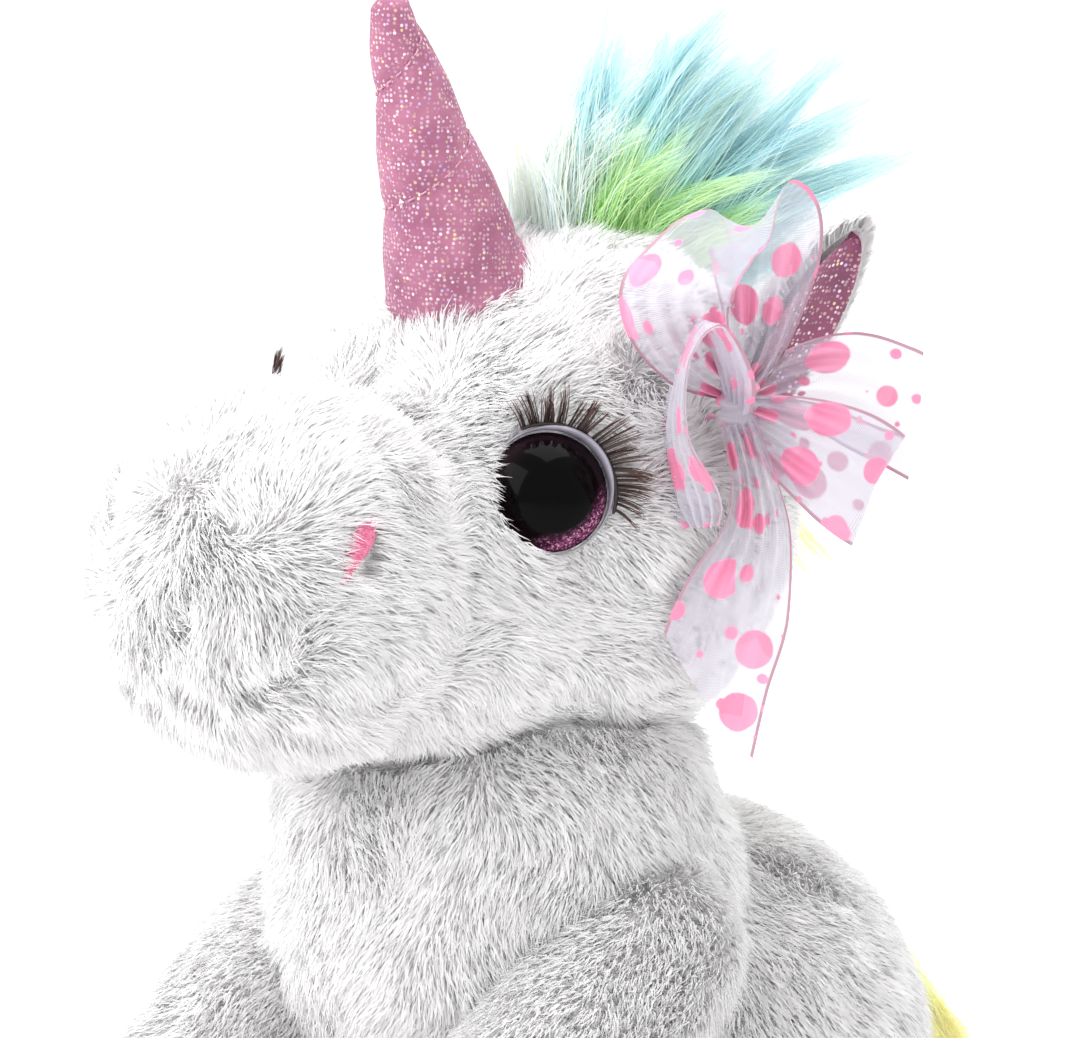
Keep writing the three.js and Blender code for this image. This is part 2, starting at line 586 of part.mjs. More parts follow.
// ---- legs: plush tube with a round root, stuffing, glitter hoof and sole ----
for (const [kind, sizes] of [['foreleg', foreLeg], ['hindleg', hindLeg]]) {
  for (const [name, side] of sides) {
    const { root, direction } = legOf(sizes, side);
    const outer = sizes.radius;
    const inner = outer - bodySkin;
    const cut = sizes.length - hoofLength;
    const wrist = outer - 2.5;
    const ball = (radius) => arc([0, 0], radius, -90, 0, 5).map(([r, h], i) => (i === 0 ? [0, h] : [r, h]));
    add(`${kind}_skin_${name}`, turned([
      ...ball(outer), [outer, cut * 0.45], [wrist, cut * 0.8], [wrist, cut],
      [wrist - bodySkin, cut], [wrist - bodySkin, cut * 0.8], [inner, cut * 0.45],
      ...ball(inner).reverse(),
    ], 16, root, direction), plushWhite, 0.95);
    const slack = inner - stuffingGap;
    add(`${kind}_stuffing_${name}`, turned([
      ...ball(slack), [slack, cut * 0.4], [wrist - bodySkin - stuffingGap, cut * 0.8],
      [wrist - bodySkin - stuffingGap, cut + 1], [outer - 5, sizes.length - 6], [0, sizes.length - 4],
    ], 16, root, direction), stuffingWhite, 1);
    const low = cut + pieceGap;
    const end = sizes.length;
    add(`${kind}_hoof_${name}`, turned([
      [wrist - hoofCloth, low], [wrist, low], [outer - 0.6, end - 9], [outer, end - 2], [outer - 1, end],
      [outer - 1 - hoofCloth, end], [outer - hoofCloth, end - 2.6], [outer - 0.6 - hoofCloth, end - 9],
      [wrist - hoofCloth, low],
    ], 16, root, direction), glitterPink, 0.45, 0.2);
    const sole = outer - 1 - hoofCloth - pieceGap - 0.5;
    add(`${kind}_sole_${name}`, turned([
      [0, end - 3], [sole, end - 3], [sole, end - 1.2], [0, end - 0.6],
    ], 16, root, direction), '#b9688a', 0.5, 0.2);
  }
}

// ---- tail: a switch of pale hair on a small round root ----
const tailWay = V(0, 0.62, -0.78).normalize();
const tailBall = 6;
const tailSeat = V(0, rumpBack, 60);
const tailRoot = tailSeat.clone().add(V(0, reach(bodyShape, tailSeat, V(0, 1, 0)) + tailBall + 0.5, 0));
add('tail_hair', turned([
  ...arc([0, 0], tailBall, -90, 0, 4).map(([r, h], i) => (i === 0 ? [0, h] : [r, h])),
  [8.5, 14], [10.5, 26], [9.5, 38], [6, 50], [2, 58], [0, 60],
], 16, tailRoot, tailWay), paleYellow, 0.8);

const box = new THREE.Box3().setFromObject(whole);
whole.position.set(-(box.min.x + box.max.x) / 2, -(box.min.y + box.max.y) / 2, -box.min.z);
export default whole;
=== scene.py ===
import json
import math

import bmesh
import bpy
import numpy as np
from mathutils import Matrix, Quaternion, Vector


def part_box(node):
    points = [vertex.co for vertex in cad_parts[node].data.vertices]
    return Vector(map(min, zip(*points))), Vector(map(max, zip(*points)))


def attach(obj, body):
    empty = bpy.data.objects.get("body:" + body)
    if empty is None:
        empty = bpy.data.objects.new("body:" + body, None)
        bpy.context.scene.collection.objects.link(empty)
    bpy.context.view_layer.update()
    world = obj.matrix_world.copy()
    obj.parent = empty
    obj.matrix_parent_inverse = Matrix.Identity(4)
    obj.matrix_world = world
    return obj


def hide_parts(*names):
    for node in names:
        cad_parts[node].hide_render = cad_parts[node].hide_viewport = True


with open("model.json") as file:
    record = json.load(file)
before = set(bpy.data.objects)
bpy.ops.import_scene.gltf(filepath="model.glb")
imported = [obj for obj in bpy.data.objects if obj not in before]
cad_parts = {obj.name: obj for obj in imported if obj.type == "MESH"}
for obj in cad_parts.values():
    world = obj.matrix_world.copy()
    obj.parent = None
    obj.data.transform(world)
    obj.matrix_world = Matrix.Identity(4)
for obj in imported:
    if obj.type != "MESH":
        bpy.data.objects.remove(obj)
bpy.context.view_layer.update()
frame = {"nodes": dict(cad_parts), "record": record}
MM = 0.001
pivot = {j["name"]: Vector(j["pos_m"]) for j in frame["record"]["behaviour"]["joints"]}

# ---------------------------------------------------------------- camera
# A long lens a step and a half away, from the toy's front left and just above its eye line, held with a
# slight tilt.
head_at = pivot["head_turn"]
view_round = math.radians(42)
view_up = math.radians(7)
view_far = 1.60
view_tilt = math.radians(2.5)
to_camera = Vector((math.sin(view_round) * math.cos(view_up),
                    -math.cos(view_round) * math.cos(view_up), math.sin(view_up)))
picture_right = Vector((math.cos(view_round), math.sin(view_round), 0))
picture_up = to_camera.cross(picture_right).normalized()
look_at = head_at + picture_right * 3.9 * MM - picture_up * 1.8 * MM
lens = bpy.data.cameras.new("camera")
lens.lens = 266
camera = bpy.data.objects.new("camera", lens)
bpy.context.scene.collection.objects.link(camera)
camera.location = look_at + to_camera * view_far
aimed = (look_at - camera.location).to_track_quat("-Z", "Y")
camera.rotation_euler = (aimed @ Quaternion((0, 0, 1), view_tilt)).to_euler()
bpy.context.scene.camera = camera


# ---------------------------------------------------------------- table and light
# White card under the toy in a white room, lit by big soft lamps, most from the toy's front right.
def linear(hex_colour, alpha=1.0):
    parts = [int(hex_colour[i:i + 2], 16) / 255 for i in (1, 3, 5)]
    return tuple(c / 12.92 if c <= 0.04045 else ((c + 0.055) / 1.055) ** 2.4 for c in parts) + (alpha,)


def node(tree, kind, settings=None, **links):
    made = tree.nodes.new(kind)
    for key, value in (settings or {}).items():
        setattr(made, key, value)
    for key, value in links.items():
        name = key.replace("_", " ")
        socket = made.inputs[int(name[1:])] if name[0] == "i" and name[1:].isdigit() else made.inputs[name]
        if isinstance(value, bpy.types.NodeSocket):
            tree.links.new(value, socket)
        else:
            socket.default_value = value
    return made


def material(name, colour="#ffffff", roughness=0.8, **plain):
    made = bpy.data.materials.new(name)
    made.use_nodes = True
    shader = made.node_tree.nodes["Principled BSDF"]
    shader.inputs["Base Color"].default_value = linear(colour)
    shader.inputs["Roughness"].default_value = roughness
    for key, value in plain.items():
        shader.inputs[key.replace("_", " ")].default_value = value
    return made, made.node_tree, shader


def ramp(tree, factor, *stops):
    made = node(tree, "ShaderNodeValToRGB", Fac=factor)
    marks = made.color_ramp.elements
    while len(marks) < len(stops):
        marks.new(0.5)
    for mark, (place, colour) in zip(marks, stops):
        mark.position = place
        mark.color = linear(colour) if isinstance(colour, str) else (colour, colour, colour, 1)
    return made.outputs["Color"]


def coloured(tree, shader, factor, *stops):
    tree.links.new(ramp(tree, factor, *stops), shader.inputs["Base Color"])


def on_object(tree):
    return node(tree, "ShaderNodeTexCoord").outputs["Object"]


def maths(tree, operation, a, b, **more):
    return node(tree, "ShaderNodeMath", {"operation": operation}, i0=a, i1=b, **more).outputs[0]


def mesh_object(name, verts, faces):
    data = bpy.data.meshes.new(name)
    data.from_pydata([tuple(v) for v in verts], [], [tuple(int(i) for i in f) for f in faces])
    data.update()
    data.shade_smooth()
    made = bpy.data.objects.new(name, data)
    bpy.context.scene.collection.objects.link(made)
    return made


table_half = 6.0
corners = [(-table_half, -table_half, 0), (table_half, -table_half, 0), (table_half, table_half, 0),
           (-table_half, table_half, 0)]
backdrop = mesh_object("table", corners, [(0, 1, 2, 3)])
paper, _, _ = material("white card", "#ffffff", 0.9)
backdrop.data.materials.append(paper)

world = bpy.data.worlds.new("studio")
world.use_nodes = True
world.node_tree.nodes["Background"].inputs["Color"].default_value = (1, 1, 1, 1)
world.node_tree.nodes["Background"].inputs["Strength"].default_value = 1.25
bpy.context.scene.world = world
bpy.context.scene.view_settings.view_transform = "Standard"


# gives a piece its material and the body it rides on, and hides the node it stands for
def dress(piece, paint, body, slot, stands_for=None):
    piece.data.materials.append(paint)
    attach(piece, body)
    if stands_for:
        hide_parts(stands_for)


def lamp(name, place, size, power):
    light = bpy.data.lights.new(name, "AREA")
    light.size = size
    light.energy = power
    made = bpy.data.objects.new(name, light)
    made.location = place
    made.rotation_euler = (head_at - made.location).to_track_quat("-Z", "Y").to_euler()
    bpy.context.scene.collection.objects.link(made)


lamp("window light", head_at - picture_right * 0.9 + to_camera * 0.5 + Vector((0, 0, 0.45)), 0.9, 8.5)
lamp("top light", head_at + Vector((0.0, 0.1, 1.0)), 0.8, 7.0)

# ---------------------------------------------------------------- head skin
# White long-pile plush cut in gores and stuffed hard: a round cranium with a big soft muzzle. The ground
# cloth is blown up by its filling and carries the pile, combed back from the nose, as drawn hairs.
head_radius = (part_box("head_skin")[1].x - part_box("head_skin")[0].x) / 2
muzzle_radius = 36.5 * MM
muzzle_at = head_at + Vector((0, -69, -9)) * MM


def ellipsoid(centre, sizes):
    centre = np.array(centre)
    sizes = np.array(sizes)

    def distance(points):
        q = (points - centre) / sizes
        near = np.linalg.norm(q, axis=1)
        slope = np.maximum(np.linalg.norm(q / sizes, axis=1), 1e-9)
        return near * (near - 1) / slope
    return distance


def blended(shapes, softness):
    return lambda points: -softness * np.log(sum(np.exp(-shape(points) / softness) for shape in shapes))


# a closed surface round a core: each corner of a fine ball is pushed out to where the shape ends
def grown(shape, core, detail, reach=0.2):
    ball = bmesh.new()
    bmesh.ops.create_icosphere(ball, subdivisions=detail, radius=1)
    ways = np.array([v.co for v in ball.verts])
    faces = np.array([[v.index for v in f.verts] for f in ball.faces])
    ball.free()
    near = np.zeros(len(ways))
    far = np.full(len(ways), reach)
    core = np.array(core)
    for _ in range(20):
        half = (near + far) / 2
        inside = shape(core + ways * half[:, None]) < 0
        near = np.where(inside, half, near)
        far = np.where(inside, far, half)
    return core + ways * near[:, None], faces


def facing(verts, faces):
    a, b, c = (verts[faces[:, i]] for i in range(3))
    flat = np.cross(b - a, c - a)
    out = np.zeros_like(verts)
    for i in range(3):
        np.add.at(out, faces[:, i], flat)
    return out / np.maximum(np.linalg.norm(out, axis=1, keepdims=True), 1e-12)


def unit(v):
    return v / np.maximum(np.linalg.norm(v, axis=1, keepdims=True), 1e-12)


# soft rise and fall of stuffing under cloth, from a few crossing waves
def lumps(points, size, seed):
    waves = np.random.default_rng(seed)
    total = np.zeros(len(points))
    for _ in range(9):
        way = waves.normal(size=3)
        way /= np.linalg.norm(way)
        total += np.sin(points @ way * 2 * math.pi / (size * waves.uniform(0.7, 1.5)) + waves.uniform(0, 6.3))
    return total / 9


def sway_of(points, size, seed):
    return np.stack([lumps(points, size, seed + i) for i in range(3)], axis=1)


def scatter(verts, faces, count, seed):
    pick = np.random.default_rng(seed)
    a, b, c = (verts[faces[:, i]] for i in range(3))
    area = np.linalg.norm(np.cross(b - a, c - a), axis=1)
    chosen = pick.choice(len(faces), count, p=area / area.sum())
    u, v = pick.random((2, count))
    over = u + v > 1
    u[over], v[over] = 1 - u[over], 1 - v[over]
    corner = facing(verts, faces)
    weights = np.stack([1 - u - v, u, v], axis=1)
    where = sum(verts[faces[chosen, i]] * weights[:, i:i + 1] for i in range(3))
    out = unit(sum(corner[faces[chosen, i]] * weights[:, i:i + 1] for i in range(3)))
    return where, out


# hairs as thin tapered blades; rows holds each hair's centre line from root to tip
def blades(name, rows, widths, normals, seed, soften=0.65, spread=0.7):
    pick = np.random.default_rng(seed)
    rows = np.stack(rows)
    steps, count = rows.shape[:2]
    verts = []
    shades = []
    for i in range(steps):
        along = unit(rows[min(i + 1, steps - 1)] - rows[max(i - 1, 0)])
        if i == 0:
            turn = pick.uniform(-spread, spread, count)[:, None]
        side = unit(np.cross(along, normals))
        side = side * np.cos(turn) + np.cross(along, side) * np.sin(turn)
        face_way = np.cross(side, along)
        flip = np.where(np.sum(face_way * normals, axis=1) < 0, -1.0, 1.0)[:, None]
        side = side * flip
        face_way = face_way * flip
        shade = unit(face_way * (1 - soften) + normals * soften)
        if i < steps - 1:
            half = side * (widths[i] / 2)
            verts += [rows[i] - half, rows[i] + half]
            shades += [shade, shade]
        else:
            verts.append(rows[i])
            shades.append(shade)
    per = 2 * steps - 1
    verts = np.stack(verts, axis=1).reshape(-1, 3)
    shades = np.stack(shades, axis=1).reshape(-1, 3)
    quads = [(2 * i, 2 * i + 1, 2 * i + 3, 2 * i + 2) for i in range(steps - 2)]
    tip = (per - 3, per - 2, per - 1)
    corners = np.array([k for q in quads for k in q] + list(tip))
    loops = (np.arange(count)[:, None] * per + corners[None, :]).ravel()
    sizes = np.tile(np.array([4] * len(quads) + [3]), count)
    data = bpy.data.meshes.new(name)
    data.vertices.add(len(verts))
    data.vertices.foreach_set("co", verts.astype(np.float32).ravel())
    data.loops.add(len(loops))
    data.loops.foreach_set("vertex_index", loops.astype(np.int32))
    data.polygons.add(len(sizes))
    data.polygons.foreach_set("loop_start", np.concatenate([[0], np.cumsum(sizes)[:-1]]).astype(np.int32))
    data.polygons.foreach_set("loop_total", sizes.astype(np.int32))
    data.update(calc_edges=True)
    data.shade_smooth()
    # along each hair runs u; v holds the hair's own tint
    tint = pick.uniform(0.02, 0.96, count)
    u_of = [0.02 + 0.96 * i / (steps - 1) for i in range(steps - 1) for _ in (0, 1)] + [0.98]
    v_of = [0.0, 0.014] * (steps - 1) + [0.007]
    uv = np.empty((count, len(corners), 2), np.float32)
    uv[:, :, 0] = np.array(u_of)[corners][None, :]
    uv[:, :, 1] = tint[:, None] + np.array(v_of)[corners][None, :]
    layer = data.uv_layers.new(name="OFBake")
    layer.data.foreach_set("uv", uv.ravel())
    data.normals_split_custom_set_from_vertices(shades)
    made = bpy.data.objects.new(name, data)
    bpy.context.scene.collection.objects.link(made)
    return made


# hair tips are drawn together in small tufts, as pile is after handling
def tufted(tips, roots, size, pull, seed):
    pick = np.random.default_rng(seed)
    loose = roots + pick.normal(scale=size * 0.22, size=roots.shape)
    cell = np.floor(loose / size).astype(np.int64)
    key = (cell[:, 0] * 73856093) ^ (cell[:, 1] * 19349663) ^ (cell[:, 2] * 83492791)
    _, group, total = np.unique(key, return_inverse=True, return_counts=True)
    group = group.ravel()
    middle = np.stack([np.bincount(group, tips[:, i]) / total for i in range(3)], axis=1)
    share = (pull * pick.uniform(0.4, 1.0, len(tips)))[:, None]
    return tips * (1 - share) + middle[group] * share


def pile(name, body, roots, out, comb, length, width, lean, seed, paint, tuft=2.6 * MM, pull=0.45, curl=0.3):
    pick = np.random.default_rng(seed)
    count = len(roots)
    flow = unit(comb - out * np.sum(comb * out, axis=1, keepdims=True))
    sway = pick.normal(0, curl, count)[:, None]
    flow = flow * np.cos(sway) + np.cross(out, flow) * np.sin(sway)
    reach = (length * pick.uniform(0.7, 1.15, count))[:, None]
    tilt = (lean + pick.normal(0, 0.16, count))[:, None]
    tips = roots + reach * (out * np.cos(tilt) + flow * np.sin(tilt))
    half = roots + 0.55 * reach * (out * np.cos(tilt * 0.55) + flow * np.sin(tilt * 0.55))
    tips = tufted(tips, roots, tuft, pull, seed + 1)
    half = tufted(half, roots, tuft, pull * 0.3, seed + 2)
    made = blades(name, [roots, half, tips], [width, width * 0.85], out, seed + 3, soften=0.93, spread=1.2)
    made.data.materials.append(paint)
    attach(made, body)
    return made


head_form = blended([
    ellipsoid(head_at, [head_radius] * 3),
    ellipsoid(head_at + Vector((0, 9, 6)) * MM,
              [head_radius - 4 * MM, head_radius - 6 * MM, head_radius - MM]),
    ellipsoid(muzzle_at, [muzzle_radius] * 3),
    ellipsoid(head_at + Vector((0, -34.5, -11)) * MM,
              [muzzle_radius + 5 * MM, muzzle_radius, muzzle_radius - MM]),
], 2.2 * MM)
head_core = head_at + Vector((0, -22, -6)) * MM
pile_depth = 3.4 * MM
head_verts, head_faces = grown(lambda p: head_form(p) + pile_depth, head_core, 5)
head_out = facing(head_verts, head_faces)
head_verts = head_verts + head_out * (lumps(head_verts, 26 * MM, 5) * 0.9 * MM)[:, None]


# The filling at work: the cut piece, sewn down where its seams are, is run as cloth under the pressure of its
# stuffing, at ten times its size because the solver hardly moves a piece this small, and no corner may go
# further than a stuffed skin of this size gives.
def stuffed(verts, faces, sewn, pressure, give):
    scale = 10
    cloth_piece = mesh_object("cloth under test", (verts - facing(verts, faces) * 0.3 * MM) * scale, faces)
    seams = cloth_piece.vertex_groups.new(name="sewn")
    seams.add([int(i) for i in np.flatnonzero(sewn)], 1.0, "REPLACE")
    cloth = cloth_piece.modifiers.new("filling", "CLOTH")
    cloth.settings.quality = 5
    cloth.settings.mass = 0.3
    cloth.settings.vertex_group_mass = "sewn"
    cloth.settings.use_pressure = True
    cloth.settings.uniform_pressure_force = pressure
    cloth.settings.effector_weights.gravity = 0
    cloth.settings.bending_stiffness = 2.0
    cloth.point_cache.frame_start = 1
    cloth.point_cache.frame_end = 20
    for step in range(1, 21):
        bpy.context.scene.frame_set(step)
    ready = cloth_piece.evaluated_get(bpy.context.evaluated_depsgraph_get())
    moved = np.empty(len(verts) * 3)
    ready.data.vertices.foreach_get("co", moved)
    change = moved.reshape(-1, 3) / scale - verts
    change[sewn] = 0
    size = np.linalg.norm(change, axis=1, keepdims=True)
    change *= np.minimum(1.0, give / np.maximum(size, 1e-9))
    data = cloth_piece.data
    bpy.data.objects.remove(cloth_piece)
    bpy.data.meshes.remove(data)
    bpy.context.scene.frame_set(1)
    return verts + change


def softened(piece):
    finer = piece.modifiers.new("fine", "SUBSURF")
    finer.levels = 1
    finer.render_levels = 1


# the gores meet along the middle of the face and head and in a line round the muzzle
muzzle_seam_y = head_at.y - 46 * MM
gore_seam = (np.abs(head_verts[:, 0]) < 0.9 * MM) | (np.abs(head_verts[:, 1] - muzzle_seam_y) < 0.9 * MM)
head_verts = stuffed(head_verts, head_faces, gore_seam, 120, 1.0 * MM)

# short pile knitted into white backing cloth: the colour of cotton wool, a trace of grey between the hairs
plush, tree, shader = material("white plush ground", "#f3f1f2", 0.95, Sheen_Weight=0.3, Sheen_Roughness=0.5)
coords = on_object(tree)
fluff = node(tree, "ShaderNodeTexNoise", {"noise_dimensions": "3D"}, Vector=coords,
             Scale=900.0, Detail=4.0, Roughness=0.7)
coloured(tree, shader, fluff.outputs["Fac"], (0.3, "#f4f2f3"), (0.7, "#ffffff"))
raised = node(tree, "ShaderNodeBump", Strength=0.6, Distance=0.0008, Height=fluff.outputs["Fac"])
tree.links.new(raised.outputs["Normal"], shader.inputs["Normal"])

# polyester pile hair: bright white, a little darker towards the root where less light gets in
pile_hair, tree, shader = material("white pile hair", "#faf9f9", 0.9, Sheen_Weight=0.25, Sheen_Roughness=0.4)
strand = node(tree, "ShaderNodeUVMap", {"uv_map": "OFBake"})
parts = node(tree, "ShaderNodeSeparateXYZ", Vector=strand.outputs["UV"])
shade_along = ramp(tree, parts.outputs["X"], (0.0, "#fbfafa"), (0.4, "#ffffff"))
shade_each = ramp(tree, parts.outputs["Y"], (0.0, "#faf8f8"), (0.5, "#ffffff"), (1.0, "#fbfafc"))
both = node(tree, "ShaderNodeMix", {"data_type": "RGBA", "blend_type": "MULTIPLY"}, i0=1.0,
            i6=shade_along, i7=shade_each)
tree.links.new(both.outputs[2], shader.inputs["Base Color"])
through = node(tree, "ShaderNodeBsdfTranslucent", Color=both.outputs[2])
lit = node(tree, "ShaderNodeMixShader", i0=0.4, i1=shader.outputs[0], i2=through.outputs[0])
tree.links.new(lit.outputs[0], tree.nodes["Material Output"].inputs["Surface"])

head_ground = mesh_object("head_plush", head_verts, head_faces)
dress(head_ground, plush, "head", "white_plush", "head_skin")
softened(head_ground)


def eye_frame(side):
    low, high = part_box(f"eye_washer_{side}")
    rim_low, rim_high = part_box(f"eye_rim_{side}")
    middle = (rim_low + rim_high) / 2
    return middle, (middle - (low + high) / 2).normalized()


eyes = {side: eye_frame(side) for side in ("left", "right")}
horn_lean = math.radians(23)
horn_way = Vector((0, -math.sin(horn_lean), math.cos(horn_lean)))
horn_length = 62 * MM
horn_low, horn_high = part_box("horn_cover")
horn_tip_at = Vector((0, horn_low.y + 3.4 * MM, horn_high.z))
horn_foot = horn_tip_at - horn_way * horn_length
ear_root = {"left": pivot["ear_left_bend"], "right": pivot["ear_right_bend"]}


# how long the pile is at each place: clipped short round the eyes, under the horn and on the nostrils
def head_pile_length(points):
    size = np.full(len(points), 1.0)
    for middle, _ in eyes.values():
        gap = np.linalg.norm(points - np.array(middle), axis=1)
        clear_of_eye = np.clip((gap - 11.5 * MM) / (9 * MM), 0.0, 1.0)
        ahead = np.clip((middle.y - points[:, 1]) / (8 * MM), 0.0, 1.0)
        size *= 0.25 + 0.75 * clear_of_eye + 0.6 * ahead * (1 - clear_of_eye)
        size[gap < 12.0 * MM] = 0
    gap = np.linalg.norm(points - np.array(horn_foot), axis=1)
    size[gap < 12.5 * MM] = 0
    for name in ("nostril_left", "nostril_right"):
        low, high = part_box(name)
        gap = np.linalg.norm((points - np.array((low + high) / 2)) / np.array([1, 0.75, 1]), axis=1)
        size[gap < 5.4 * MM] = 0
    mouth_gap = np.min(np.linalg.norm(points[:, None, :] - mouth_line[None, ::4, :], axis=2), axis=1)
    return size * np.clip(mouth_gap / (3.5 * MM), 0.3, 1.0)


# the middle line of a sewn thread, its corners gathered by how far along it they are, laid on the cloth
def thread_line(name, along, count, forms):
    corners = np.array([v.co for v in frame["nodes"][name].data.vertices])
    place = along(corners)
    low, high = place.min(), place.max()
    part = np.minimum(((place - low) / (high - low) * count).astype(int), count - 1)
    line = np.array([corners[part == i].mean(axis=0) for i in range(count) if np.any(part == i)])
    for _ in range(30):
        for form, depth in forms:
            off = form(line) + depth
            slope = np.stack([(form(line + np.eye(3)[i] * 0.1 * MM) - form(line - np.eye(3)[i] * 0.1 * MM))
                              / (0.2 * MM) for i in range(3)], axis=1)
            line = line - slope * (off / np.maximum(np.sum(slope * slope, axis=1), 0.2) * 0.7)[:, None]
    return line


mouth_line = thread_line("mouth_thread", lambda p: p[:, 0], 60, [(head_form, pile_depth - 0.9 * MM)])


head_hairs = 210000
roots, out = scatter(head_verts, head_faces, head_hairs, 21)
short = head_pile_length(roots)
kept = short > 0
roots, out, short = roots[kept], out[kept], short[kept]
comb = np.tile(np.array([0.0, 0.85, -0.35]), (len(roots), 1))
comb += sway_of(roots, 20 * MM, 31) * 1.6
length = 7.6 * MM * short * (1 + 0.25 * lumps(roots, 9 * MM, 34) * 2)
parts_of_head = [
    ("head_pile_muzzle_left", (roots[:, 1] < muzzle_seam_y) & (roots[:, 0] >= 0)),
    ("head_pile_muzzle_right", (roots[:, 1] < muzzle_seam_y) & (roots[:, 0] < 0)),
    ("head_pile_left", (roots[:, 1] >= muzzle_seam_y) & (roots[:, 0] > 22 * MM)),
    ("head_pile_right", (roots[:, 1] >= muzzle_seam_y) & (roots[:, 0] < -22 * MM)),
    ("head_pile_middle", (roots[:, 1] >= muzzle_seam_y) & (np.abs(roots[:, 0]) <= 22 * MM)),
]
hair_width = 0.36 * MM
for i, (name, here) in enumerate(parts_of_head):
    pile(name, "head", roots[here], out[here], comb[here], length[here], hair_width, 0.72, 40 + 5 * i,
         pile_hair)

# ---------------------------------------------------------------- body skin
# The same plush, cut as a pear: a wide rump that sits on its pellet bag, a chest, and a neck sewn under the
# head.
shift_y = head_at.y
rump_radius = 50 * MM
neck_radius = 43 * MM


def at(x, y, z):
    return Vector((x * MM, y * MM + shift_y, z * MM))


torso_form = blended([
    ellipsoid(at(0, 56, 47), [rump_radius, rump_radius, 54 * MM]),
    ellipsoid(at(0, -2, 84), [neck_radius + MM, neck_radius + MM, 46 * MM]),
    ellipsoid(at(0, -6, 110), [neck_radius, neck_radius - MM, 34 * MM]),
    ellipsoid(at(0, 14, 92), [38 * MM, 34 * MM, 28 * MM]),
    ellipsoid(at(0, 20, 44), [44 * MM, 44 * MM, 46 * MM]),
], 3 * MM)
body_verts, body_faces = grown(lambda p: np.maximum(torso_form(p) + pile_depth, -p[:, 2] + 0.6 * MM),
                               at(0, 12, 62), 5)
body_out = facing(body_verts, body_faces)
body_verts = body_verts + body_out * (lumps(body_verts, 34 * MM, 6) * 0.8 * MM)[:, None]
side_seam = (np.abs(body_verts[:, 0]) < 1.0 * MM) | (body_verts[:, 2] < 3 * MM)
body_verts = stuffed(body_verts, body_faces, side_seam | (head_form(body_verts) < 3 * MM), 120, 1.0 * MM)
body_verts[:, 2] = np.maximum(body_verts[:, 2], 0.4 * MM)
body_ground = mesh_object("body_plush", body_verts, body_faces)
dress(body_ground, plush, "torso", "white_plush", "body_skin")
softened(body_ground)

body_hairs = 210000
roots, out = scatter(body_verts, body_faces, body_hairs, 61)
kept = (head_form(roots) > 2.5 * MM) & (roots[:, 2] > 3.0 * MM)
roots, out = roots[kept], out[kept]
comb = np.tile(np.array([0.0, 0.1, -1.0]), (len(roots), 1))
comb += sway_of(roots, 24 * MM, 71) * 1.5
near_table = np.clip((roots[:, 2] - 1 * MM) / (8 * MM), 0.25, 1.0)
length = 7.6 * MM * near_table * (1 + 0.3 * lumps(roots, 9 * MM, 74))
split_y = at(0, 22, 0).y
parts_of_body = [
    ("body_pile_front_left", (roots[:, 1] < split_y) & (roots[:, 0] >= 0)),
    ("body_pile_front_right", (roots[:, 1] < split_y) & (roots[:, 0] < 0)),
    ("body_pile_back_left", (roots[:, 1] >= split_y) & (roots[:, 0] >= 0)),
    ("body_pile_back_right", (roots[:, 1] >= split_y) & (roots[:, 0] < 0)),
]
for i, (name, here) in enumerate(parts_of_body):
    pile(name, "torso", roots[here], out[here], comb[here], length[here], hair_width, 0.75, 80 + 5 * i,
         pile_hair)

# ---------------------------------------------------------------- legs
# Four stuffed plush tubes with round roots, each ending in a hoof of glitter cloth with a flat sole.
leg_sizes = {"foreleg": (20 * MM, 99 * MM, (0.07, -0.77, -0.63)),
             "hindleg": (21 * MM, 82 * MM, (0.45, -0.87, -0.05))}
hoof_length = 22 * MM


# a lathe form: rings of points round a line from the root
def lathed(profile, root, way, around):
    way = Vector(way).normalized()
    side = way.orthogonal().normalized()
    other = way.cross(side)
    turns = np.linspace(0, 2 * math.pi, around, endpoint=False)
    ring = np.cos(turns)[:, None] * np.array(side) + np.sin(turns)[:, None] * np.array(other)
    verts = [np.array(root) + np.array(way) * h + ring * r for r, h in profile]
    verts = np.concatenate(verts)
    faces = []
    for i in range(len(profile) - 1):
        for k in range(around):
            n = (k + 1) % around
            a, b = i * around + k, i * around + n
            c, d = (i + 1) * around + n, (i + 1) * around + k
            faces += [(a, b, c), (a, c, d)]
    return verts, np.array(faces)


def leg_frame(kind, side, sign, way):
    root = pivot[f"{kind}_{side}_swing"]
    return f"{kind}_{side}", root, Vector((way[0] * sign, way[1], way[2])).normalized()


# faces turned, if need be, so that they look away from the middle
def outward(verts, faces, middle):
    out = facing(verts, faces)
    if np.mean(np.sum(out * (verts - np.array(middle)), axis=1)) < 0:
        return faces[:, ::-1], -out
    return faces, out


def smoothed(points, count):
    points = np.array(points, float)
    t = np.linspace(0, len(points) - 1, count)
    result = []
    for value in t:
        i = min(int(value), len(points) - 2)
        f = value - i
        p0, p1 = points[max(i - 1, 0)], points[i]
        p2, p3 = points[i + 1], points[min(i + 2, len(points) - 1)]
        result.append(0.5 * (2 * p1 + (p2 - p0) * f + (2 * p0 - 5 * p1 + 4 * p2 - p3) * f * f
                             + (3 * p1 - p0 - 3 * p2 + p3) * f ** 3))
    return np.array(result)


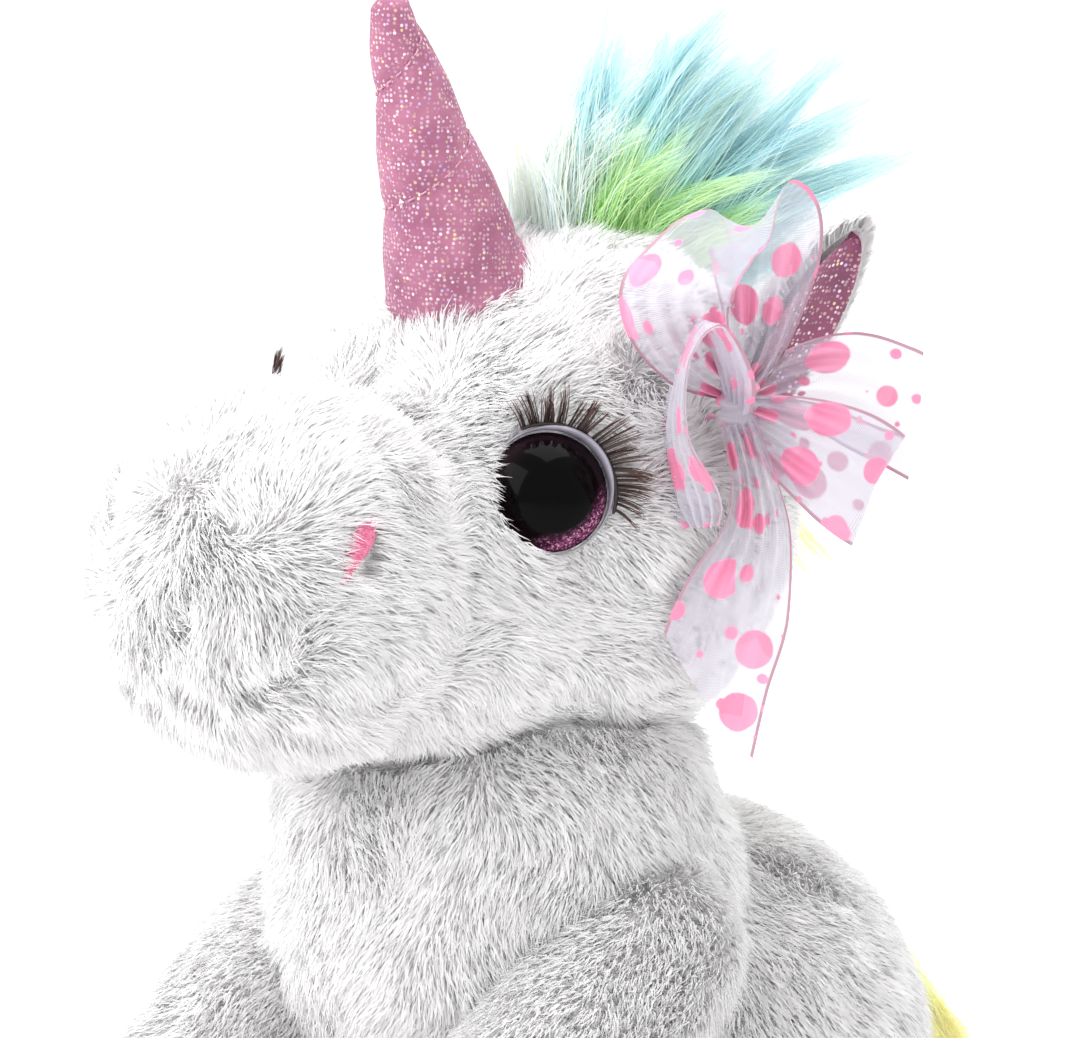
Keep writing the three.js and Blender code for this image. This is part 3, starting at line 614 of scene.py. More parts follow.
for kind, (radius, reach, way) in leg_sizes.items():
    for side, sign in (("left", 1), ("right", -1)):
        body, root, heading = leg_frame(kind, side, sign, way)
        cut = reach - hoof_length
        r = radius - pile_depth
        ball = [(max(r * math.cos(a), 0.02 * MM), r * math.sin(a)) for a in np.linspace(-math.pi / 2, 0, 9)]
        rest = smoothed([(r, 0), (r, cut * 0.45), (r - 2.5 * MM, cut * 0.8), (r - 2.0 * MM, cut + MM)],
                        26)[1:]
        leg_verts, leg_faces = lathed(ball + [tuple(p) for p in rest], root, heading, 64)
        leg_faces, leg_out = outward(leg_verts, leg_faces, root + heading * reach * 0.3)
        leg_verts = leg_verts + leg_out * (lumps(leg_verts, 30 * MM, 8) * 0.7 * MM)[:, None]
        along_leg = (leg_verts - np.array(root)) @ np.array(heading)
        leg_sewn = (along_leg < -0.8 * r) | (along_leg > cut - 1 * MM)
        leg_verts = stuffed(leg_verts, leg_faces, leg_sewn, 120, 0.8 * MM)
        ground = mesh_object(f"{kind}_plush_{side}", leg_verts, leg_faces)
        dress(ground, plush, body, "white_plush", f"{kind}_skin_{side}")
        seed = 100 + 10 * len(kind) + (1 if sign > 0 else 2) + (50 if kind == "hindleg" else 0)
        roots, out = scatter(leg_verts, leg_faces, 38000, seed)
        kept = (torso_form(roots) > -6 * MM) & (roots[:, 2] > 2.5 * MM)
        roots, out = roots[kept], out[kept]
        comb = np.tile(np.array(heading), (len(roots), 1))
        comb += sway_of(roots, 20 * MM, 91)
        length = 6.6 * MM * (1 + 0.3 * lumps(roots, 9 * MM, 94))
        pile(f"{kind}_pile_{side}", body, roots, out, comb, length, hair_width * 1.1, 0.75, seed + 5,
             pile_hair)

# ---------------------------------------------------------------- horn
# Knitted cloth faced with mauve glitter foil, sewn to a cone and stuffed; a thread wound round it pulls a
# spiral groove into the cloth.
horn_radius = 14.7 * MM
horn_tip_radius = 3.6 * MM
horn_turns = 2.6


# cloth printed with tiny foil dots: the base stays soft and pink, the dots flash white, gold and lilac
def glitter(name, base, deep, dot_mm):
    made, tree, shader = material(name, base, 0.55)
    coords = on_object(tree)
    dots = node(tree, "ShaderNodeTexVoronoi", {"feature": "F1"}, Vector=coords,
                Scale=1000.0 / dot_mm, Randomness=0.55)
    mask = ramp(tree, dots.outputs["Distance"], (0.30, 1.0), (0.40, 0.0))
    split = node(tree, "ShaderNodeSeparateColor", Color=dots.outputs["Color"])
    shine = ramp(tree, split.outputs["Red"], (0.0, "#b88498"), (0.35, "#cfb0bc"), (0.55, "#e2d2d8"),
                 (0.72, "#d2bb8c"), (0.86, "#a998cc"), (1.0, "#e6d8dd"))
    lit = ramp(tree, split.outputs["Green"], (0.1, 0.3), (0.8, 1.0))
    shown = maths(tree, "MULTIPLY", mask, lit)
    blotch = node(tree, "ShaderNodeTexNoise", Vector=coords, Scale=140.0, Detail=3.0)
    ground = ramp(tree, blotch.outputs["Fac"], (0.3, deep), (0.7, base))
    paint = node(tree, "ShaderNodeMix", {"data_type": "RGBA"}, i0=shown, i6=ground, i7=shine)
    tree.links.new(paint.outputs[2], shader.inputs["Base Color"])
    gloss = node(tree, "ShaderNodeMapRange", Value=shown, To_Min=0.6, To_Max=0.22)
    tree.links.new(gloss.outputs["Result"], shader.inputs["Roughness"])
    foil = maths(tree, "MULTIPLY", shown, 0.35)
    tree.links.new(foil, shader.inputs["Metallic"])
    raised = node(tree, "ShaderNodeBump", Strength=0.35, Distance=0.0002, Height=mask)
    tree.links.new(raised.outputs["Normal"], shader.inputs["Normal"])
    return made


glitter_cloth = glitter("mauve glitter jersey", "#a96a84", "#8d4f6c", 0.95)
dark_glitter_cloth = glitter("deep pink glitter jersey", "#8a4465", "#6f3350", 1.1)


def horn_groove(turn, h):
    wound = (turn / (2 * math.pi) - (h / horn_length) * horn_turns + 0.16) % 1.0
    off = np.minimum(wound, 1 - wound) * horn_length / horn_turns
    inside = np.clip((h - 3 * MM) / (4 * MM), 0, 1) * np.clip((horn_length - 5 * MM - h) / (5 * MM), 0, 1)
    return np.exp(-(off / (1.5 * MM)) ** 2) * inside


around, high = 120, 110
verts = []
side_way = Vector((1, 0, 0))
front_way = horn_way.cross(side_way)
for i in range(high + 1):
    h = -4 * MM + (horn_length + 4 * MM) * i / high
    t = max(h, 0) / horn_length
    r = horn_radius + (horn_tip_radius - horn_radius) * t
    cap = max(0.0, (h - (horn_length - horn_tip_radius)) / horn_tip_radius)
    r *= math.sqrt(max(0.0, 1 - cap ** 2)) if cap > 0 else 1.0
    turns = np.linspace(0, 2 * math.pi, around, endpoint=False)
    ring = np.cos(turns)[:, None] * np.array(side_way) + np.sin(turns)[:, None] * np.array(front_way)
    spot = np.array(horn_foot + horn_way * h) + ring * r
    puff = 0.7 * MM * np.sin(((turns / (2 * math.pi) - t * horn_turns + 0.16) % 1.0) * math.pi)
    soft = lumps(spot, 13 * MM, 14) * 0.7 * MM
    scale = min(1.0, r / (6 * MM))
    swell = puff * scale + soft * scale - 0.8 * MM * horn_groove(turns, np.full(around, h)) * scale
    verts.append(spot + ring * np.maximum(swell, -0.6 * MM)[:, None])
verts = np.concatenate(verts)
faces = []
for i in range(high):
    for k in range(around):
        n = (k + 1) % around
        a, b = i * around + k, i * around + n
        c, d = (i + 1) * around + n, (i + 1) * around + k
        faces += [(a, b, c), (a, c, d)]
up_horn = (verts - np.array(horn_foot)) @ np.array(horn_way)
turn_at = np.tile(np.linspace(0, 2 * math.pi, around, endpoint=False), high + 1)
horn_sewn = (horn_groove(turn_at, up_horn) > 0.6) | (up_horn < 0) | (up_horn > horn_length - 3 * MM)
verts = stuffed(verts, np.array(faces), horn_sewn, 150, 0.8 * MM)
horn = mesh_object("horn_cloth", verts, faces)
softened(horn)
dress(horn, glitter_cloth, "head", "glitter_cloth", "horn_cover")

# running stitches of pink thread lie in the groove
pink_thread, tree, shader = material("pink polyester thread", "#c58aa2", 0.55)
coords = on_object(tree)
twist = node(tree, "ShaderNodeTexWave", {"wave_type": "BANDS"}, Vector=coords, Scale=900.0)
coloured(tree, shader, twist.outputs["Fac"], (0.0, "#b87893"), (1.0, "#d6a5b8"))


def tube(lines, radius, sides=6):
    verts, faces = [], []
    for line in lines:
        line = np.array(line)
        base = len(verts)
        for i, spot in enumerate(line):
            along = line[min(i + 1, len(line) - 1)] - line[max(i - 1, 0)]
            along = along / max(np.linalg.norm(along), 1e-12)
            side = np.cross(along, [0.31, 0.17, 0.94])
            side /= np.linalg.norm(side)
            other = np.cross(along, side)
            thick = radius * (0.55 if i in (0, len(line) - 1) else 1.0)
            for k in range(sides):
                a = 2 * math.pi * k / sides
                verts.append(spot + thick * (side * math.cos(a) + other * math.sin(a)))
        for i in range(len(line) - 1):
            for k in range(sides):
                n = (k + 1) % sides
                a, b = base + i * sides, base + (i + 1) * sides
                faces.append((a + k, a + n, b + n, b + k))
        faces.append(tuple(base + k for k in reversed(range(sides))))
        faces.append(tuple(base + (len(line) - 1) * sides + k for k in range(sides)))
    return verts, faces


stitch_long = 2.4 * MM
stitches = []
h = 8 * MM
while h < horn_length - 9 * MM:
    stitch = []
    for step in range(5):
        t = h / horn_length
        r = horn_radius + (horn_tip_radius - horn_radius) * t
        turn = (t * horn_turns - 0.16) * 2 * math.pi
        scale = min(1.0, r / (6 * MM))
        lift = 0.25 * MM * math.sin(math.pi * step / 4)
        spot = horn_foot + horn_way * h
        ring = side_way * math.cos(turn) + front_way * math.sin(turn)
        soft = float(lumps(np.array([spot + ring * r]), 13 * MM, 14)[0]) * 0.7 * MM * scale
        stitch.append(np.array(spot + ring * (r + soft - 0.55 * MM * scale + lift)))
        h += stitch_long / 4 / (2 * math.pi * r * horn_turns / horn_length + 1)
    stitches.append(stitch)
    h += 1.0 * MM / (2 * math.pi * r * horn_turns / horn_length + 1)
thread = mesh_object("horn_stitches", *tube(stitches, 0.22 * MM))
dress(thread, pink_thread, "head", "pink_thread", "horn_thread")

# ---------------------------------------------------------------- seams
# Sewing thread in short stitches, lying on the cloth under the pile: round the neck, down the back and along
# the mouth.
seam_thread, tree, shader = material("white polyester sewing thread", "#f0ecec", 0.55)
coords = on_object(tree)
twist = node(tree, "ShaderNodeTexWave", {"wave_type": "BANDS"}, Vector=coords, Scale=900.0)
coloured(tree, shader, twist.outputs["Fac"], (0.0, "#dcd6d7"), (1.0, "#fbf9f9"))
body_of = {name: body for body, names in frame["record"]["behaviour"]["bodies"].items() for name in names}
on_cloth = pile_depth - 0.5 * MM
seam_lines = {
    "neck_seam_thread": thread_line("neck_seam_thread",
                                    lambda p: np.arctan2(p[:, 1] - head_at.y, p[:, 0] - head_at.x), 160,
                                    [(head_form, on_cloth), (torso_form, on_cloth)]),
    "closing_seam": thread_line("closing_seam", lambda p: p[:, 2], 60, [(torso_form, on_cloth)]),
    "mouth_thread": mouth_line,
}
for name, line in seam_lines.items():
    run = np.concatenate([[0], np.cumsum(np.linalg.norm(np.diff(line, axis=0), axis=1))])
    stitches = []
    for start in np.arange(0, run[-1] - 2.6 * MM, 3.4 * MM):
        places = np.linspace(start, start + 2.6 * MM, 5)
        stitches.append(np.stack([np.interp(places, run, line[:, i]) for i in range(3)], axis=1))
    sewn = mesh_object(f"{name}_stitches", *tube(stitches, 0.25 * MM))
    dress(sewn, seam_thread, body_of[name], "white_thread", name)

# ---------------------------------------------------------------- hooves
# Covers of the same glitter cloth drawn over the leg ends, with flat soles.
for kind, (radius, reach, way) in leg_sizes.items():
    for side, sign in (("left", 1), ("right", -1)):
        body, root, heading = leg_frame(kind, side, sign, way)
        low = reach - hoof_length - 2 * MM
        outline = smoothed([(radius - 4.2 * MM, low), (radius - 2.2 * MM, low + 2.5 * MM),
                            (radius - 1.0 * MM, reach - 10 * MM), (radius - 0.3 * MM, reach - 4 * MM),
                            (radius - 1.6 * MM, reach - 0.9 * MM)], 22)
        hoof_verts, hoof_faces = lathed([tuple(p) for p in outline], root, heading, 72)
        hoof_faces, hoof_out = outward(hoof_verts, hoof_faces, root + heading * (reach - 11 * MM))
        hoof_verts = hoof_verts + hoof_out * (lumps(hoof_verts, 14 * MM, 18) * 0.5 * MM)[:, None]
        along_hoof = (hoof_verts - np.array(root)) @ np.array(heading)
        hoof_sewn = (along_hoof < low + MM) | (along_hoof > reach - 1.5 * MM)
        hoof_verts = stuffed(hoof_verts, hoof_faces, hoof_sewn, 120, 0.7 * MM)
        hoof_verts[:, 2] = np.maximum(hoof_verts[:, 2], 0.3 * MM)
        hoof = mesh_object(f"{kind}_hoof_cloth_{side}", hoof_verts, hoof_faces)
        dress(hoof, glitter_cloth, body, "glitter_cloth", f"{kind}_hoof_{side}")
        swell = [(max(0.02 * MM, (radius - 1.6 * MM) * s), reach - 0.9 * MM + 0.6 * MM * (1 - s ** 2))
                 for s in np.linspace(1, 0, 12)]
        sole_verts, sole_faces = lathed(swell, root, heading, 72)
        sole = mesh_object(f"{kind}_sole_cloth_{side}", sole_verts, sole_faces)
        dress(sole, dark_glitter_cloth, body, "dark_glitter_cloth", f"{kind}_sole_{side}")

# ---------------------------------------------------------------- eyes
# Moulded acrylic safety eyes: a clear dome over a printed iris, near black with fine spokes, held in a grey
# plastic lid. The crescent of purple-pink glitter at the lower side of the iris is painted light, where light
# through the dome falls.
eye_radius = 11.8 * MM
eye_height = 7.6 * MM


# where an eye's post meets the cloth, and the ways out of it, up it and across it
def eye_axes(side, sign):
    middle, out_way = eyes[side]
    up_way = (Vector((0, 0, 1)) - out_way * out_way.z).normalized()
    return middle - out_way * 2.0 * MM, out_way, up_way, up_way.cross(out_way).normalized() * sign


def map_corners(piece, name, flat):
    layer = piece.data.uv_layers.new(name=name)
    for loop in piece.data.loops:
        layer.data[loop.index].uv = flat[loop.vertex_index]


for side, sign in (("left", 1), ("right", -1)):
    seat, out_way, up_way, across = eye_axes(side, sign)
    made, tree, shader = material(f"printed eye with painted light {side}", "#0c070b", 0.12, Specular_IOR_Level=0.03,
                                  Coat_Weight=0.05, Coat_Roughness=0.03)
    spot = node(tree, "ShaderNodeUVMap", {"uv_map": "EyeMap"})
    xy = node(tree, "ShaderNodeSeparateXYZ", Vector=spot.outputs["UV"])
    polar = node(tree, "ShaderNodeVectorMath", {"operation": "LENGTH"}, i0=spot.outputs["UV"])
    turn = maths(tree, "ARCTAN2", xy.outputs["Y"], xy.outputs["X"])
    spoke_at = node(tree, "ShaderNodeCombineXYZ", X=turn, Y=0.0, Z=0.0)
    spoke = node(tree, "ShaderNodeTexNoise", Vector=spoke_at.outputs[0], Scale=9.0, Detail=6.0, Roughness=0.8)
    edge = maths(tree, "MULTIPLY_ADD", spoke.outputs["Fac"], 0.22, i2=polar.outputs["Value"])
    iris = ramp(tree, edge, (0.0, "#020101"), (0.70, "#030202"), (0.84, "#0d0509"),
                (0.95, "#1c0c13"), (1.0, "#12080d"))
    grit = node(tree, "ShaderNodeTexVoronoi", {"feature": "F1"}, Vector=spot.outputs["UV"], Scale=34.0)
    tone = node(tree, "ShaderNodeSeparateColor", Color=grit.outputs["Color"])
    flash = ramp(tree, tone.outputs["Red"], (0.0, "#2c1223"), (0.5, "#552643"), (0.85, "#8f4f74"),
                 (1.0, "#c48fab"))
    # painted light: the bright glitter shows only in a crescent at the lower side of the iris ring, where
    # light through the dome falls
    low_side = maths(tree, "MULTIPLY_ADD", xy.outputs["X"], 0.62, i2=0.0)
    low_both = maths(tree, "MULTIPLY_ADD", xy.outputs["Y"], -0.78, i2=low_side)
    painted_light_crescent = ramp(tree, low_both, (0.38, 0.0), (0.72, 1.0))
    ring = ramp(tree, polar.outputs["Value"], (0.60, 0.0), (0.76, 1.0), (0.93, 1.0), (0.97, 0.2))
    where = maths(tree, "MULTIPLY", painted_light_crescent, ring)
    mixed = node(tree, "ShaderNodeMix", {"data_type": "RGBA"}, i0=where, i6=iris, i7=flash)
    tree.links.new(mixed.outputs[2], shader.inputs["Base Color"])

    rings, around = 28, 72
    verts = [np.array(seat + out_way * (eye_height + 1.2 * MM))]
    flat = [(0.0, 0.0)]
    curve = (eye_radius ** 2 + eye_height ** 2) / (2 * eye_height)
    edge_angle = math.asin(eye_radius / curve)
    for i in range(1, rings + 1):
        a = edge_angle * i / rings
        r, h = curve * math.sin(a), curve * math.cos(a) - curve + eye_height + 1.2 * MM
        for k in range(around):
            t = 2 * math.pi * k / around
            verts.append(np.array(seat + out_way * h + (across * math.cos(t) + up_way * math.sin(t)) * r))
            flat.append((math.cos(t) * i / rings, math.sin(t) * i / rings))
    faces = [(0, 1 + k, 1 + (k + 1) % around) for k in range(around)]
    for i in range(rings - 1):
        for k in range(around):
            a, n = 1 + i * around, (k + 1) % around
            faces.append((a + k, a + around + k, a + around + n, a + n))
    if sign < 0:
        faces = [tuple(reversed(f)) for f in faces]
    dome = mesh_object(f"eye_dome_{side}", verts, faces)
    map_corners(dome, "EyeMap", flat)
    dress(dome, made, "head", "eye_plastic", f"eye_{side}")

# ---------------------------------------------------------------- lids and lashes
# A grey plastic rim hugs each eye and thickens to a lid above; a strip of curled brown lashes is glued to it.
lid_plastic, tree, shader = material("grey moulded lid", "#8f8b96", 0.32)
coords = on_object(tree)
haze = node(tree, "ShaderNodeTexNoise", Vector=coords, Scale=260.0, Detail=3.0)
coloured(tree, shader, haze.outputs["Fac"], (0.3, "#85808e"), (0.7, "#a09ca8"))
lash_hair, tree, shader = material("dark brown lash fibre", "#2a150f", 0.45)
strand = node(tree, "ShaderNodeUVMap", {"uv_map": "OFBake"})
parts = node(tree, "ShaderNodeSeparateXYZ", Vector=strand.outputs["UV"])
coloured(tree, shader, parts.outputs["X"], (0.0, "#1c0d0a"), (1.0, "#4a2a20"))
for side, sign in (("left", 1), ("right", -1)):
    seat, out_way, up_way, across = eye_axes(side, sign)
    verts, faces = [], []
    steps = 90
    section = 10
    for i in range(steps):
        a = 2 * math.pi * i / steps
        lid = max(0.0, math.cos(a - math.radians(48))) ** 1.3
        way = across * math.cos(a) + up_way * math.sin(a)
        wide = (0.25 + 1.25 * lid) * MM
        tall = (0.3 + 2.2 * lid) * MM
        for k in range(section):
            t = 2 * math.pi * k / section
            verts.append(np.array(seat + way * (eye_radius + 0.35 * MM + wide * (0.5 + 0.5 * math.cos(t)))
                                  + out_way * (1.2 * MM + tall * math.sin(t) + 0.6 * MM * lid)))
    for i in range(steps):
        for k in range(section):
            a, b = i * section, ((i + 1) % steps) * section
            n = (k + 1) % section
            faces.append((a + k, b + k, b + n, a + n))
    if sign < 0:
        faces = [tuple(reversed(f)) for f in faces]
    lid_piece = mesh_object(f"eye_lid_{side}", verts, faces)
    dress(lid_piece, lid_plastic, "head", "grey_plastic", f"eye_rim_{side}")

    pick = np.random.default_rng(300 + sign)
    groups = 30
    roots, halves, tips, ups = [], [], [], []
    for g in range(groups):
        a0 = math.radians(-14 + 126 * g / (groups - 1)) + pick.normal(0, 0.015)
        longest = (6.0 + 2.6 * math.sin(math.pi * (0.15 + 0.75 * g / (groups - 1)))) * MM
        reach = longest * pick.uniform(0.82, 1.2)
        slant = pick.normal(0, 0.12) - 0.25 * math.cos(a0)
        for _ in range(7):
            a = a0 + pick.normal(0, 0.022)
            way = across * math.cos(a) + up_way * math.sin(a)
            along = (across * -math.sin(a) + up_way * math.cos(a))
            start = seat + way * (eye_radius + 1.4 * MM) + out_way * 3.0 * MM
            bend = out_way * reach * 0.42 + way * reach * 0.42
            tip = start + way * reach * 0.86 + out_way * reach * 0.28 + along * reach * slant
            tip = tip + Vector(pick.normal(0, 0.28 * MM, 3))
            roots.append(start)
            halves.append(start + bend + along * reach * slant * 0.35)
            tips.append(tip)
            ups.append(out_way)
    lash_rows = []
    roots, halves, tips, ups = (np.array(x) for x in (roots, halves, tips, ups))
    for t in np.linspace(0, 1, 6):
        lash_rows.append(roots * (1 - t) ** 2 + halves * 2 * t * (1 - t) + tips * t ** 2)
    lash = blades(f"eye_lashes_{side}", lash_rows, [0.34 * MM, 0.32 * MM, 0.28 * MM, 0.22 * MM, 0.14 * MM],
                  ups, 310 + sign, soften=0.1, spread=1.4)
    band_line = [seat + (across * math.cos(a) + up_way * math.sin(a)) * (eye_radius + 1.5 * MM)
                 + out_way * 3.0 * MM for a in np.linspace(math.radians(-18), math.radians(115), 40)]
    band = mesh_object(f"lash_band_{side}", *tube([band_line], 0.42 * MM, 8))
    dress(band, lash_hair, "head", "lash_fibre")
    dress(lash, lash_hair, "head", "lash_fibre", f"lash_strip_{side}")

# ---------------------------------------------------------------- nostrils
# Satin stitch in hot pink rayon: a teardrop of close parallel threads, its round end up and back.
rayon, tree, shader = material("hot pink satin stitch", "#cf5f86", 0.42, Sheen_Weight=0.3)
coords = on_object(tree)
silk = node(tree, "ShaderNodeTexNoise", Vector=coords, Scale=1500.0, Detail=2.0)
coloured(tree, shader, silk.outputs["Fac"], (0.3, "#bf4a74"), (0.7, "#dd7f9f"))
for side, sign in (("left", 1), ("right", -1)):
    low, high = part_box(f"nostril_{side}")
    middle = (low + high) / 2
    out_way = (middle - muzzle_at).normalized()
    up_way = Vector((0, 0.52, 0.85))
    up_way = (up_way - out_way * up_way.dot(out_way)).normalized()
    across = up_way.cross(out_way).normalized()
    threads = []
    count = 26
    for i in range(count):
        t = i / (count - 1)
        drop = math.sin(math.pi * min(1.0, 0.06 + t * 0.94) ** 1.35) ** 0.75
        half = 3.0 * MM * drop * (0.35 + 0.65 * t) + 0.3 * MM
        start = middle + up_way * (t - 0.5) * 13.5 * MM
        line = []
        for k in np.linspace(-1, 1, 7):
            spot = start + across * half * k + up_way * 0.8 * MM * k
            way = (spot - muzzle_at).normalized()
            level = muzzle_radius + 0.2 * MM + 1.3 * MM * math.sqrt(max(0, 1 - k * k))
            line.append(np.array(muzzle_at + way * level))
        threads.append(line)
    patch = mesh_object(f"nostril_stitches_{side}", *tube(threads, 0.36 * MM))
    dress(patch, rayon, "head", "pink_thread", f"nostril_{side}")

# ---------------------------------------------------------------- ears
# Two leaves of cloth sewn together: white plush behind, deep pink glitter in front, pinched at the root.
ear_length = 39 * MM
ear_half = 12.5 * MM
for side, sign in (("left", 1), ("right", -1)):
    up_way = Vector((sign * 0.43, 0.21, 0.88)).normalized()
    face_way = Vector((sign * 0.93, 0.05, -0.3))
    face_way = (face_way - up_way * face_way.dot(up_way)).normalized()
    across = up_way.cross(face_way)
    root = ear_root[side]
    for piece, lift, inset, paint, slot in (("plush", -1.0, 1.0, plush, "white_plush"),
                                            ("lining", 1.0, 2.4, dark_glitter_cloth, "dark_glitter_cloth")):
        rows, cols = 34, 26
        verts, faces = [], []
        for i in range(rows + 1):
            t = i / rows
            half = (ear_half - inset * MM) * math.sin(math.pi * min(1, (0.30 + 0.70 * t)) ** 1.25) ** 0.6
            half = max(half, 0.25 * MM)
            for k in range(cols + 1):
                s = -1 + 2 * k / cols
                cup = 3.2 * MM * (s * s) * (1 - 0.3 * t)
                body = (2.0 if piece == "plush" else 1.1) * MM * math.sqrt(max(0, 1 - s * s))
                body *= math.sin(math.pi * min(1, 0.12 + 0.86 * t)) ** 0.5
                spot = (root - up_way * 2 * MM + up_way * (ear_length - inset * MM) * t + across * half * s
                        + face_way * (cup + lift * body - (0.4 * MM if piece == "plush" else -0.2 * MM)))
                verts.append(np.array(spot))
        for i in range(rows):
            for k in range(cols):
                a = i * (cols + 1) + k
                quad = (a, a + 1, a + cols + 2, a + cols + 1)
                faces.append(quad if (lift > 0) == (sign > 0) else tuple(reversed(quad)))
        leaf = mesh_object(f"ear_{piece}_leaf_{side}", verts, faces)
        dress(leaf, paint, f"ear_{side}", slot, f"ear_{'back' if piece == 'plush' else 'lining'}_{side}")
        if piece == "plush":
            back_verts = np.array(verts)
            back_faces = np.array([[f[0], f[1], f[2]] for f in faces] + [[f[0], f[2], f[3]] for f in faces])
    roots, out = scatter(back_verts, back_faces, 14000, 400 + sign)
    if np.mean(out @ np.array(face_way)) > 0:
        out = -out
    comb = np.tile(np.array(up_way), (len(roots), 1))
    comb += (roots - np.array(root + up_way * ear_length * 0.4)) * 25
    length = np.full(len(roots), 6.0 * MM)
    pile(f"ear_pile_{side}", f"ear_{side}", roots, out, comb, length, hair_width, 0.85, 420 + sign, pile_hair)

# ---------------------------------------------------------------- mane
# Long-pile faux fur sewn along the crest from the horn down the nape: green at the root, blue and aqua in the
# middle, nearly white at the tips, yellow at the nape.
rows_of_hair = 9


def dyed(name, *stops, streak="#f4fbc4"):
    made, tree, shader = material(name, stops[0][1], 0.6, Sheen_Weight=0.3)
    strand = node(tree, "ShaderNodeUVMap", {"uv_map": "OFBake"})
    parts = node(tree, "ShaderNodeSeparateXYZ", Vector=strand.outputs["UV"])
    drift = maths(tree, "MULTIPLY_ADD", parts.outputs["Y"], 0.24, i2=-0.12)
    place = maths(tree, "ADD", parts.outputs["X"], drift)
    along = ramp(tree, place, *stops)
    few = ramp(tree, parts.outputs["Y"], (0.80, 0.0), (0.84, 0.55))
    mixed = node(tree, "ShaderNodeMix", {"data_type": "RGBA"}, i0=few, i6=along, i7=linear(streak))
    tree.links.new(mixed.outputs[2], shader.inputs["Base Color"])
    through = node(tree, "ShaderNodeBsdfTranslucent", Color=mixed.outputs[2])
    lit = node(tree, "ShaderNodeMixShader", i0=0.45, i1=shader.outputs[0], i2=through.outputs[0])
    tree.links.new(lit.outputs[0], tree.nodes["Material Output"].inputs["Surface"])
    return made


# one bunch: hairs from along a short stretch of root, sweeping through a bend and drawn together at their
# ends into a few thin wisps
def lock(pick, count, root_a, root_b, bend, tip, spread, root_wide, wisps=9):
    s = pick.random(count)
    root_a, root_b, bend, tip = (np.array(v) for v in (root_a, root_b, bend, tip))
    root = root_a * (1 - s[:, None]) + root_b * s[:, None]
    root = root + pick.normal(0, 1, (count, 3)) * np.array([root_wide, 0.8 * MM, 0.5 * MM])
    wisp = np.minimum((s * wisps + pick.normal(0, 0.6, count)).astype(int) % wisps, wisps - 1)
    ends = tip + pick.normal(0, spread * 1.7, (wisps, 3))
    ends += (tip - bend) * pick.uniform(-0.35, 0.3, (wisps, 1))
    swings = pick.normal(0, spread * 0.5, (wisps, 3))
    end = ends[wisp] + pick.normal(0, spread * 0.28, (count, 3))
    middle = bend + (root - (root_a + root_b) / 2) * 0.9 + swings[wisp]
    middle += pick.normal(0, spread * 0.4, (count, 3))
    short = (1 - 0.55 * pick.random(count) ** 1.6)[:, None]
    end = root + (end - root) * short
    middle = root + (middle - root) * (0.6 + 0.4 * short)
    wave = pick.normal(0, 0.7 * MM, (count, 3))
    lines = []
    for t in np.linspace(0, 1, rows_of_hair):
        here = root * (1 - t) ** 2 + middle * 2 * t * (1 - t) + end * t ** 2
        lines.append(here + wave * math.sin(t * math.pi * 1.6) * t)
    return lines


def crest(y, z_extra=0.0):
    way = Vector((0, y * MM, math.sqrt(max(0.0, (50 * MM) ** 2 - (y * MM) ** 2)))).normalized()
    near, far = 0.0, 0.12
    for _ in range(20):
        half = (near + far) / 2
        inside = head_form(np.array([head_at + way * half]))[0] < -pile_depth
        near, far = (half, far) if inside else (near, half)
    return head_at + way * (near + z_extra * MM)


def spot(x, y, z):
    return head_at + Vector((x, y, z)) * MM


thick = 1.0
locks = {
    "mane_forelock_hair": (dyed("pale aqua faux fur", (0.0, "#eefafa"), (0.35, "#f2fbfc"), (0.7, "#f8fdfe"),
                                (1.0, "#ffffff")), "mane_forelock", "aqua_pile", [
        (700, crest(-1), crest(5), spot(-1, -1, 70), spot(-3, 2, 82), 3.6, 3.6),
        (500, crest(1), crest(8), spot(2, 8, 72), spot(4, 13, 84), 3.0, 3.6),
    ]),
    "mane_crown_hair": (dyed("green to blue faux fur", (0.0, "#c6f5ae"), (0.2, "#cdf7bc"), (0.42, "#cdf5f8"),
                             (0.68, "#d2f3fc"), (1.0, "#f6fdff")), "mane_crown", "green_pile", [
        (1300, crest(6), crest(14), spot(0, 12, 78), spot(0, 30, 101), 3.2, 3.6),
        (1500, crest(9), crest(20), spot(2, 26, 80), spot(4, 54, 100), 3.6, 3.6),
        (1700, crest(12), crest(26), spot(3, 36, 74), spot(5, 70, 93), 3.6, 3.8),
        (1700, crest(16), crest(31), spot(4, 44, 66), spot(6, 90, 86), 3.4, 3.8),
        (1500, crest(20), crest(35), spot(4, 48, 56), spot(6, 100, 74), 3.2, 3.8),
        (900, crest(24), crest(38), spot(4, 52, 46), spot(6, 84, 58), 3.4, 3.8),
    ]),
    "mane_crown_undercoat": (dyed("meadow green faux fur", (0.0, "#b4ec9a"), (0.4, "#cdf7b0"),
                                  (0.75, "#e0fac8"), (1.0, "#dcf8ee")), "mane_crown", "green_pile", [
        (1500, crest(4), crest(20), spot(4, 12, 64), spot(8, 32, 74), 3.2, 5.0),
        (1500, crest(14), crest(34), spot(5, 28, 56), spot(9, 56, 62), 3.2, 5.0),
    ]),
    "mane_nape_hair": (dyed("yellow faux fur", (0.0, "#e0f8c0"), (0.3, "#f4fabc"), (0.6, "#fdf8c0"),
                            (1.0, "#fffbe2")), "mane_nape", "yellow_pile", [
        (1300, crest(40), crest(49), spot(2, 60, 28), spot(4, 78, 8), 3.4, 4.6),
        (1300, spot(0, 47, 12), spot(0, 47, -8), spot(2, 64, 4), spot(3, 80, -12), 3.4, 4.6),
        (900, spot(0, 47, 2), spot(0, 42, -20), spot(1, 58, -16), spot(2, 68, -30), 3.0, 4.6),
    ]),
}
